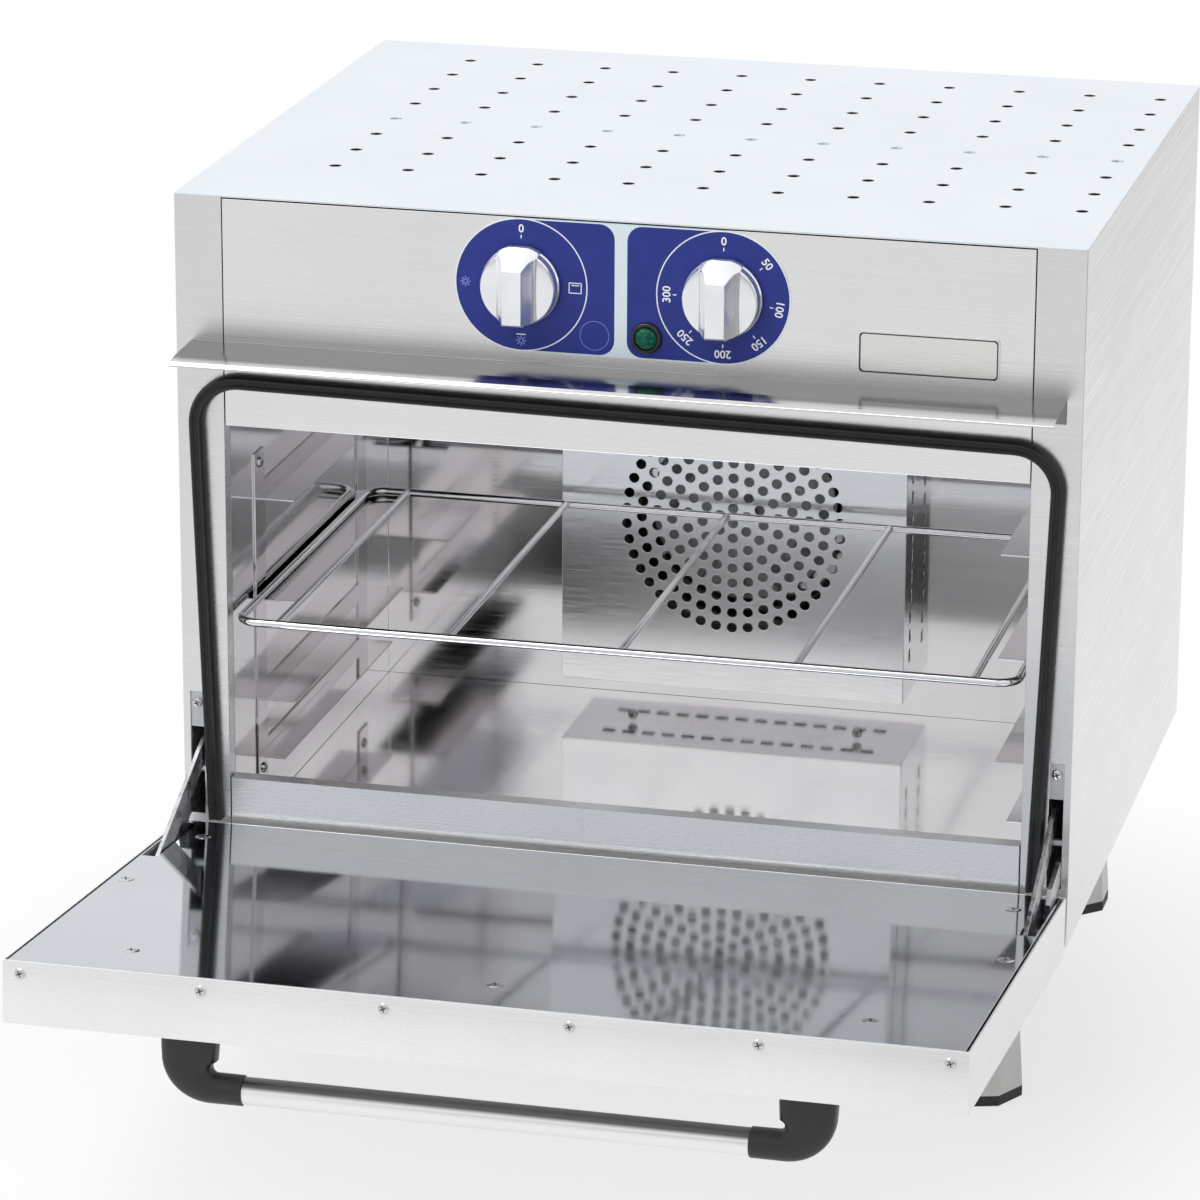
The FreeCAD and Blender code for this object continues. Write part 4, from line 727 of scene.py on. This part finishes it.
def badge():
    """The dark line round the bare badge plate."""
    low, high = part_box("badge_plate")
    half_x, half_z = (high.x - low.x) / 2, (high.z - low.z) / 2
    lines = []
    for inset in (0.9 * MM, 1.7 * MM):
        lines.append(rounded_box(-half_x + inset, -half_z + inset, half_x - inset, half_z - inset, 2.5 * MM))
    rim = sheet_mesh([lines[0]], [lines[1]], 0.1 * MM)
    place = on_front((low.x + high.x) / 2, (low.z + high.z) / 2, front_y - low.y)
    make("badge_rim", joined("badge_rim", [(rim, place, 0)]), "root", "badge_metal", DARK_PRINT)


def lamp():
    """The pilot lamp: a glossy bezel round a faceted green lens."""
    rise = front_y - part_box("lamp_bezel")[0].y
    place = on_front(LAMP_PLACE[0], roof_high.z + LAMP_PLACE[1], 0)
    bezel = lathe_mesh([
        (6.0 * MM, -10 * MM), (6.0 * MM, 0.2 * MM), (10.3 * MM, 0.2 * MM), (10.4 * MM, 1.4 * MM),
        (10.1 * MM, rise - 0.9 * MM), (9.5 * MM, rise - 0.2 * MM), (8.8 * MM, rise), (8.0 * MM, rise - 0.2 * MM),
        (7.4 * MM, rise - 0.9 * MM), (7.3 * MM, rise - 1.6 * MM),
    ], 48)
    piece = make("lamp_ring", joined("lamp_ring", [(bezel, place, 0)]), "root", "lamp_black")
    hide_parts("lamp_bezel")
    top = front_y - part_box("lamp_lens")[0].y
    dome = lathe_mesh([
        (7.2 * MM, rise - 1.8 * MM), (7.2 * MM, rise - 0.6 * MM), (6.6 * MM, rise + 0.2 * MM),
        (4.9 * MM, top - 0.8 * MM), (4.4 * MM, top - 0.9 * MM), (2.4 * MM, top - 0.1 * MM), (0, top),
    ], 12)
    piece = make("lamp_dome", joined("lamp_dome", [(dome, place, 0)]), "root", "lamp_green", smooth=12)
    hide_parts("lamp_lens")


# Screws

def screw_heads(name, node, body, facing, rise, radius=SCREW_RADIUS):
    """Domed heads with a black cross of painted shade standing for the cross recess, one at each head of the CAD
    node; a wall's heads face inward.
    """
    parts = []
    for middle in islands(node):
        turned = LEFT if facing is RIGHT and middle.x > 0 else facing
        place = Matrix.Translation(middle) @ turned @ Matrix.Translation((0, 0, -rise / 2))
        head = lathe_mesh([(radius * 0.98, 0), (radius, rise * 0.25), (radius * 0.86, rise * 0.7),
                           (radius * 0.55, rise * 0.94), (0, rise)], 24)
        parts.append((head, place, 0))
        # Painted shade: two thin black bars set into the dome stand for the shadowed cross recess.
        for turn_by in (0, 90):
            arm = sheet_mesh([rounded_box(-radius * 0.55, -radius * 0.1, radius * 0.55, radius * 0.1,
                                          radius * 0.05)], [], rise * 0.3)
            spun = Matrix.Rotation(math.radians(turn_by + 20), 4, "Z")
            parts.append((arm, place @ Matrix.Translation((0, 0, rise * 0.72)) @ spun, 1))
    piece = make(name, joined(name, parts), body, "fastener_steel", FINISHES["fastener_steel"], PAINTED_RECESS_SHADE)
    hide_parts(node)


# Cavity

def fan_cover():
    """The perforated cover over the fan: a face of round holes, and slots along three edges."""
    low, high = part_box("fan_cover")
    half = (high.x - low.x) / 2
    middle = ((low.x + high.x) / 2, (low.z + high.z) / 2)
    deep = high.y - low.y
    holes = [circle(COVER_HOLE, steps=18)]
    for ring in range(1, COVER_RINGS + 1):
        for step in range(6 * ring):
            angle = math.radians(60 * step / ring)
            reach = ring * COVER_RING_PITCH
            holes.append(circle(COVER_HOLE, reach * math.sin(angle), reach * math.cos(angle), 18))
    face = sheet_mesh([rounded_box(-half, -half, half, half, 1.5 * MM)], holes, COVER_SHEET, 0.3 * MM)
    place = Matrix.Translation((middle[0], low.y + COVER_SHEET, middle[1])) @ FRONT
    parts = [(face, place, 0)]
    slots = []
    for number in range(COVER_SLOT_COUNT):
        along = (number - (COVER_SLOT_COUNT - 1) / 2) * COVER_SLOT_PITCH
        slots.append(rounded_box(along - COVER_SLOT[1] / 2, -COVER_SLOT[0] / 2,
                                 along + COVER_SLOT[1] / 2, COVER_SLOT[0] / 2, 1.2 * MM, 3))
    outer = [rounded_box(-half + 0.4 * MM, -deep / 2 + COVER_SHEET, half - 0.4 * MM, deep / 2, 0.5 * MM)]
    for turn_by, cut in ((0, False), (90, True), (180, True), (270, True)):
        wall = sheet_mesh(outer, slots if cut else [], COVER_SHEET, 0.1 * MM)
        around = Matrix.Rotation(math.radians(turn_by), 4, "Y")
        flat = Matrix.Translation((0, 0, half - COVER_SHEET))
        centre = Matrix.Translation((middle[0], (low.y + high.y) / 2, middle[1]))
        parts.append((wall, centre @ around @ flat, 0))
    piece = make("fan_cover_sheet", joined("fan_cover_sheet", parts), "root", "bright_steel", COVER_STEEL)
    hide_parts("fan_cover")


def rack():
    """The wire rack: one bent loop and the wires welded across it."""
    low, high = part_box("wire_rack")
    z = (low.z + high.z) / 2
    half = high.x - RACK_WIRE
    front, back = low.y + RACK_WIRE, high.y - RACK_WIRE
    outline = rounded_box(-half, front, half, back, RACK_CORNER, 10)
    loop = sweep_mesh([Vector((x, y, z)) for x, y in outline], wire_section(RACK_WIRE), Vector((0, 0, 1)),
                      closed=True)
    parts = [(loop, Matrix.Identity(4), 0)]
    for step in (-2, -1, 0, 1, 2):
        x = step * CROSS_PITCH
        wire = [Vector((x, front + 0.6 * MM, z)), Vector((x, back - 0.6 * MM, z))]
        parts.append((sweep_mesh(wire, wire_section(CROSS_WIRE), Vector((0, 0, 1))), Matrix.Identity(4), 0))
        for y, inward in ((front, 1), (back, -1)):
            weld = lathe_mesh([(2.2 * MM, 0), (3.1 * MM, 1.2 * MM), (2.9 * MM, 3.2 * MM),
                               (CROSS_WIRE, 5 * MM)], 16)
            place = Matrix.Translation((x, y, z)) @ (BACK if inward > 0 else FRONT)
            squeeze = Matrix.Diagonal((1, 0.86, 1, 1))
            parts.append((weld, place @ squeeze, 0))
    piece = make("rack_wires", joined("rack_wires", parts), "rack", "rack_wire", smooth=60)
    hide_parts("wire_rack")


# Door seal

def gasket():
    """The ribbed rubber seal round the mouth, open at the bottom."""
    low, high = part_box("door_gasket")
    inset = GASKET_WIDTH / 2
    rise = high.y - low.y
    right_top = roof_high.z - 126.5 * MM - inset
    left_top = high.z - inset
    top_half = high.x - inset
    base_half = top_half - 10 * MM
    corners = [(-base_half, high.y, low.z), (-top_half, high.y, left_top),
               (top_half, high.y, right_top), (base_half, high.y, low.z)]
    path = bend(corners, GASKET_CORNER - inset, 14)
    section = [(-inset, 0), (-inset, rise * 0.62), (-inset + 0.6 * MM, rise * 0.86), (-inset + 1.5 * MM, rise),
               (-2.3 * MM, rise), (-1.5 * MM, rise * 0.93), (-0.9 * MM, rise * 0.84), (0, rise * 0.8),
               (0.9 * MM, rise * 0.84), (1.5 * MM, rise * 0.93), (2.3 * MM, rise), (inset - 1.5 * MM, rise),
               (inset - 0.6 * MM, rise * 0.86), (inset, rise * 0.62), (inset, 0)]
    mesh = sweep_mesh(path, section, Vector((0, -1, 0)))
    piece = make("door_seal", mesh, "root", "seal_rubber", smooth=40)
    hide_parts("door_gasket")


# Door

def door_swing():
    """From the closed door to the open one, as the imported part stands."""
    hinge = next(joint for joint in frame["joints"] if joint["name"] == "door_hinge")
    pivot = Vector(hinge["pos_m"])
    angle = math.radians(hinge["range_deg"][1])
    return Matrix.Translation(pivot) @ Matrix.Rotation(angle, 4, "X") @ Matrix.Translation(-pivot)


def handle():
    """A satin tube between two black elbows, drawn on the closed door and swung open."""
    swing = door_swing()
    outer_y = front_y - DOOR_GAP - DOOR_THICKNESS
    z = DOOR_TOP - HANDLE_DROP
    tube = lathe_mesh([
        (HANDLE_RADIUS - 1 * MM, 0), (HANDLE_RADIUS - 0.2 * MM, 0), (HANDLE_RADIUS, 0.3 * MM),
        (HANDLE_RADIUS, 2 * HANDLE_HALF - 0.3 * MM), (HANDLE_RADIUS - 0.2 * MM, 2 * HANDLE_HALF),
        (HANDLE_RADIUS - 1 * MM, 2 * HANDLE_HALF),
    ], 40)
    place = swing @ Matrix.Translation((-HANDLE_HALF, outer_y - HANDLE_REACH, z)) @ RIGHT
    piece = make("handle_bar", joined("handle_bar", [(tube, place, 0)]), "door", "handle_tube")
    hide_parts("handle_tube")
    for side, node in ((1, "handle_elbow_right"), (-1, "handle_elbow_left")):
        mirrored = Matrix.Diagonal((side, 1, 1, 1))
        place = swing @ Matrix.Translation((0, outer_y, z)) @ mirrored
        mesh = joined(node + "_moulding", [(elbow_mesh(), place, 0)])
        if side < 0:
            mesh.flip_normals()
        piece = make(node + "_moulding", mesh, "door", "black_plastic", smooth=50)
        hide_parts(node)


def elbow_mesh():
    """A moulded elbow, from round at the tube to a broad foot on the door."""
    reach = HANDLE_REACH
    bend_radius = 17 * MM
    foot_x = ELBOW_INNER + ELBOW_BASE[0] / 2
    path = [Vector((HANDLE_HALF, -reach, 0)), Vector((HANDLE_HALF + 0.6 * MM, -reach, 0))]
    path += bend([(HANDLE_HALF + 2 * MM, -reach, 0), (foot_x, -reach, 0), (foot_x, 0, 0)],
                 bend_radius, 12)[:-1]
    path += [Vector((foot_x, -reach * share, 0)) for share in (0.45, 0.3, 0.15, 0.03, 0)]
    rings = []
    for index, point in enumerate(path):
        along = path[min(index + 1, len(path) - 1)] - path[max(index - 1, 0)]
        side = along.normalized().cross(Vector((0, 0, 1)))
        share = min(1, max(0, (index - 2) / (len(path) - 5)))
        share = share * share * (3 - 2 * share)
        wide = (HANDLE_RADIUS + 1 * MM) * (1 - share) + ELBOW_BASE[0] / 2 * share
        deep = (HANDLE_RADIUS + 0.75 * MM) * (1 - share) + ELBOW_BASE[1] / 2 * share
        if index == 0:
            wide, deep = wide - 0.6 * MM, deep - 0.6 * MM
        power = 1 - 0.45 * share
        ring = []
        for step in range(28):
            angle = 2 * math.pi * step / 28
            across = math.copysign(abs(math.cos(angle)) ** power, math.cos(angle)) * wide
            up = math.copysign(abs(math.sin(angle)) ** power, math.sin(angle)) * deep
            ring.append(point + side * across + Vector((0, 0, up)))
        rings.append(ring)
    return loft_mesh(rings)


# Materials of the CAD pieces that stay

def paint_frame():
    for part in frame["record"]["subparts"]:
        node = frame["nodes"][part["node"]]
        node.data.materials.clear()
        node.data.materials.append(FINISHES[part["material_slot"]])
    # The fascia, sill and door pan take the lit copies of the case steel, which carry painted light.
    for name, steel in (("door_inner_panel", PANEL_STEEL), ("control_fascia", LIT_FASCIA_STEEL),
                        ("front_sill", LIT_FASCIA_STEEL), ("door_outer_pan", LIT_DOOR_STEEL),
                        ("tray_guide_left", GUIDE_STEEL), ("tray_guide_right", GUIDE_STEEL)):
        frame["nodes"][name].data.materials[0] = steel


# Stage, light and camera

def floor():
    """A pale floor that fades into the white background and keeps the shadow."""
    mesh = bpy.data.meshes.new("floor")
    shape = bmesh.new()
    bmesh.ops.create_grid(shape, x_segments=2, y_segments=2, size=14)
    shape.to_mesh(mesh)
    shape.free()
    plane = bpy.data.objects.new("floor", mesh)
    plane.location.z = -0.0002
    bpy.context.scene.collection.objects.link(plane)
    material = bpy.data.materials.new("floor")
    material.use_nodes = True
    nodes, links = material.node_tree.nodes, material.node_tree.links
    nodes.clear()
    output = nodes.new("ShaderNodeOutputMaterial")
    pale = nodes.new("ShaderNodeBsdfDiffuse")
    pale.inputs["Color"].default_value = (0.9, 0.9, 0.9, 1)
    white = nodes.new("ShaderNodeEmission")
    white.inputs["Strength"].default_value = 1
    mix = nodes.new("ShaderNodeMixShader")
    place = nodes.new("ShaderNodeTexCoord")
    length = nodes.new("ShaderNodeVectorMath")
    length.operation = "LENGTH"
    links.new(place.outputs["Object"], length.inputs[0])
    fade = nodes.new("ShaderNodeMapRange")
    fade.inputs["From Min"].default_value = 0.3
    fade.inputs["From Max"].default_value = 0.66
    fade.inputs["To Min"].default_value = 0.68
    links.new(length.outputs["Value"], fade.inputs["Value"])
    split = nodes.new("ShaderNodeSeparateXYZ")
    links.new(place.outputs["Object"], split.inputs["Vector"])
    forward = shade(nodes, links, split.outputs["Y"], (-1.5, 0.2), (FLOOR_IN_FRONT, 1))
    sideways = shade(nodes, links, split.outputs["X"], (0.9, 1.7), (1, FLOOR_AT_SIDE))
    dimmed = product(nodes, links, forward, sideways)
    links.new(white_if_seen(nodes, links, dimmed), white.inputs["Strength"])
    seen = seen_rays(nodes, links)
    links.new(product(nodes, links, fade.outputs["Result"], seen), mix.inputs["Fac"])
    links.new(pale.outputs["BSDF"], mix.inputs[1])
    links.new(white.outputs["Emission"], mix.inputs[2])
    links.new(mix.outputs["Shader"], output.inputs["Surface"])
    mesh.materials.append(material)


def seen_rays(nodes, links):
    """One for rays from the camera, a reflection or through glass, and nought for the others."""
    path = nodes.new("ShaderNodeLightPath")
    total = path.outputs["Is Camera Ray"]
    for name in ("Is Glossy Ray", "Is Transmission Ray"):
        greater = nodes.new("ShaderNodeMath")
        greater.operation = "MAXIMUM"
        links.new(total, greater.inputs[0])
        links.new(path.outputs[name], greater.inputs[1])
        total = greater.outputs["Value"]
    return total


def shade(nodes, links, source, span, ends):
    """A smooth step from one brightness to another."""
    ramp = nodes.new("ShaderNodeMapRange")
    ramp.interpolation_type = "SMOOTHSTEP"
    ramp.inputs["From Min"].default_value, ramp.inputs["From Max"].default_value = span
    ramp.inputs["To Min"].default_value, ramp.inputs["To Max"].default_value = ends
    links.new(source, ramp.inputs["Value"])
    return ramp.outputs["Result"]


def product(nodes, links, one, other):
    node = nodes.new("ShaderNodeMath")
    node.operation = "MULTIPLY"
    links.new(one, node.inputs[0])
    links.new(other, node.inputs[1])
    return node.outputs["Value"]


def white_if_seen(nodes, links, strength):
    """White where the camera sees it, and the given strength in reflections."""
    path = nodes.new("ShaderNodeLightPath")
    brighter = nodes.new("ShaderNodeMath")
    brighter.operation = "MAXIMUM"
    links.new(path.outputs["Is Camera Ray"], brighter.inputs[0])
    links.new(strength, brighter.inputs[1])
    return brighter.outputs["Value"]


# How bright the room is in reflections
FLOOR_IN_FRONT = 0.85
FLOOR_AT_SIDE = 0.3
ROOM_IN_FRONT = 0.45


def surroundings():
    """A white room: white where it is seen, and plain soft light on the object."""
    world = bpy.data.worlds.new("studio")
    bpy.context.scene.world = world
    world.use_nodes = True
    nodes, links = world.node_tree.nodes, world.node_tree.links
    nodes.clear()
    output = nodes.new("ShaderNodeOutputWorld")
    seen = nodes.new("ShaderNodeBackground")
    seen.inputs["Color"].default_value = (1, 1, 1, 1)
    place = nodes.new("ShaderNodeTexCoord")
    facing = nodes.new("ShaderNodeVectorMath")
    facing.operation = "DOT_PRODUCT"
    facing.inputs[1].default_value = (0, 0.35, 1)
    links.new(place.outputs["Generated"], facing.inputs[0])
    dimmed = shade(nodes, links, facing.outputs["Value"], (-0.3, 0.06), (ROOM_IN_FRONT, 1))
    links.new(white_if_seen(nodes, links, dimmed), seen.inputs["Strength"])
    light = nodes.new("ShaderNodeBackground")
    light.inputs["Color"].default_value = (0.96, 0.98, 1, 1)
    light.inputs["Strength"].default_value = 0.55
    mix = nodes.new("ShaderNodeMixShader")
    links.new(seen_rays(nodes, links), mix.inputs["Fac"])
    links.new(light.outputs["Background"], mix.inputs[1])
    links.new(seen.outputs["Background"], mix.inputs[2])
    links.new(mix.outputs["Shader"], output.inputs["Surface"])


def lamp_panel(name, place, aim, size, power):
    """A soft studio panel."""
    data = bpy.data.lights.new(name, "AREA")
    data.shape = "RECTANGLE"
    data.size, data.size_y = size
    data.energy = power
    light = bpy.data.objects.new(name, data)
    light.location = place
    light.rotation_euler = (Vector(aim) - Vector(place)).to_track_quat("-Z", "Y").to_euler()
    bpy.context.scene.collection.objects.link(light)
    return light


def lights():
    lamp_panel("key_panel", (-0.9, -0.6, 2.4), (0, 0.1, 0.3), (1.6, 1.6), 26)
    front = lamp_panel("front_panel", (-0.6, -2.6, 1.0), (0, 0, 0.3), (1.6, 1.0), 13)
    front.visible_glossy = False


EYE = (0.81594, -3.45076, 1.43405)
HEADING = 13.785
LOOKING_DOWN = 17.566
ROLL = 0.2732
LENS = 168.06


def camera():
    """The photograph's viewpoint."""
    data = bpy.data.cameras.new("camera")
    data.lens = LENS
    data.sensor_width = 36
    eye = bpy.data.objects.new("camera", data)
    eye.location = EYE
    aim = Matrix.Rotation(math.radians(HEADING), 3, "Z") @ Matrix.Rotation(
        math.radians(90 - LOOKING_DOWN), 3, "X")
    roll = Quaternion((0, 0, 1), math.radians(ROLL))
    eye.rotation_mode = "QUATERNION"
    eye.rotation_quaternion = aim.to_quaternion() @ roll
    bpy.context.scene.collection.objects.link(eye)
    bpy.context.scene.camera = eye


paint_frame()
roof()
label()
knob("selector_grip", "selector", "selector_knob", -DIAL_SPACING / 2)
knob("thermostat_grip", "thermostat_dial", "thermostat_knob", DIAL_SPACING / 2)
badge()
lamp()
screw_heads("case_screw_heads", "case_screws", "root", BACK, 1.8 * MM)
screw_heads("cover_screw_heads", "fan_cover_screws", "root", FRONT, 1.8 * MM)
screw_heads("hinge_screw_heads", "hinge_screws", "root", FRONT, 2.4 * MM)
screw_heads("guide_screw_heads", "guide_screws", "root", RIGHT, 2.2 * MM)
door_turn = door_swing().to_3x3().to_4x4()
screw_heads("edge_screw_heads", "door_edge_screws", "door", door_turn @ UP, 1.8 * MM)
screw_heads("panel_screw_heads", "door_panel_screws", "door", door_turn @ BACK, 0.8 * MM, 5.4 * MM)
fan_cover()
rack()
gasket()
handle()
soften_case()
floor()
surroundings()
lights()
camera()
bpy.context.scene.view_settings.view_transform = "Standard"
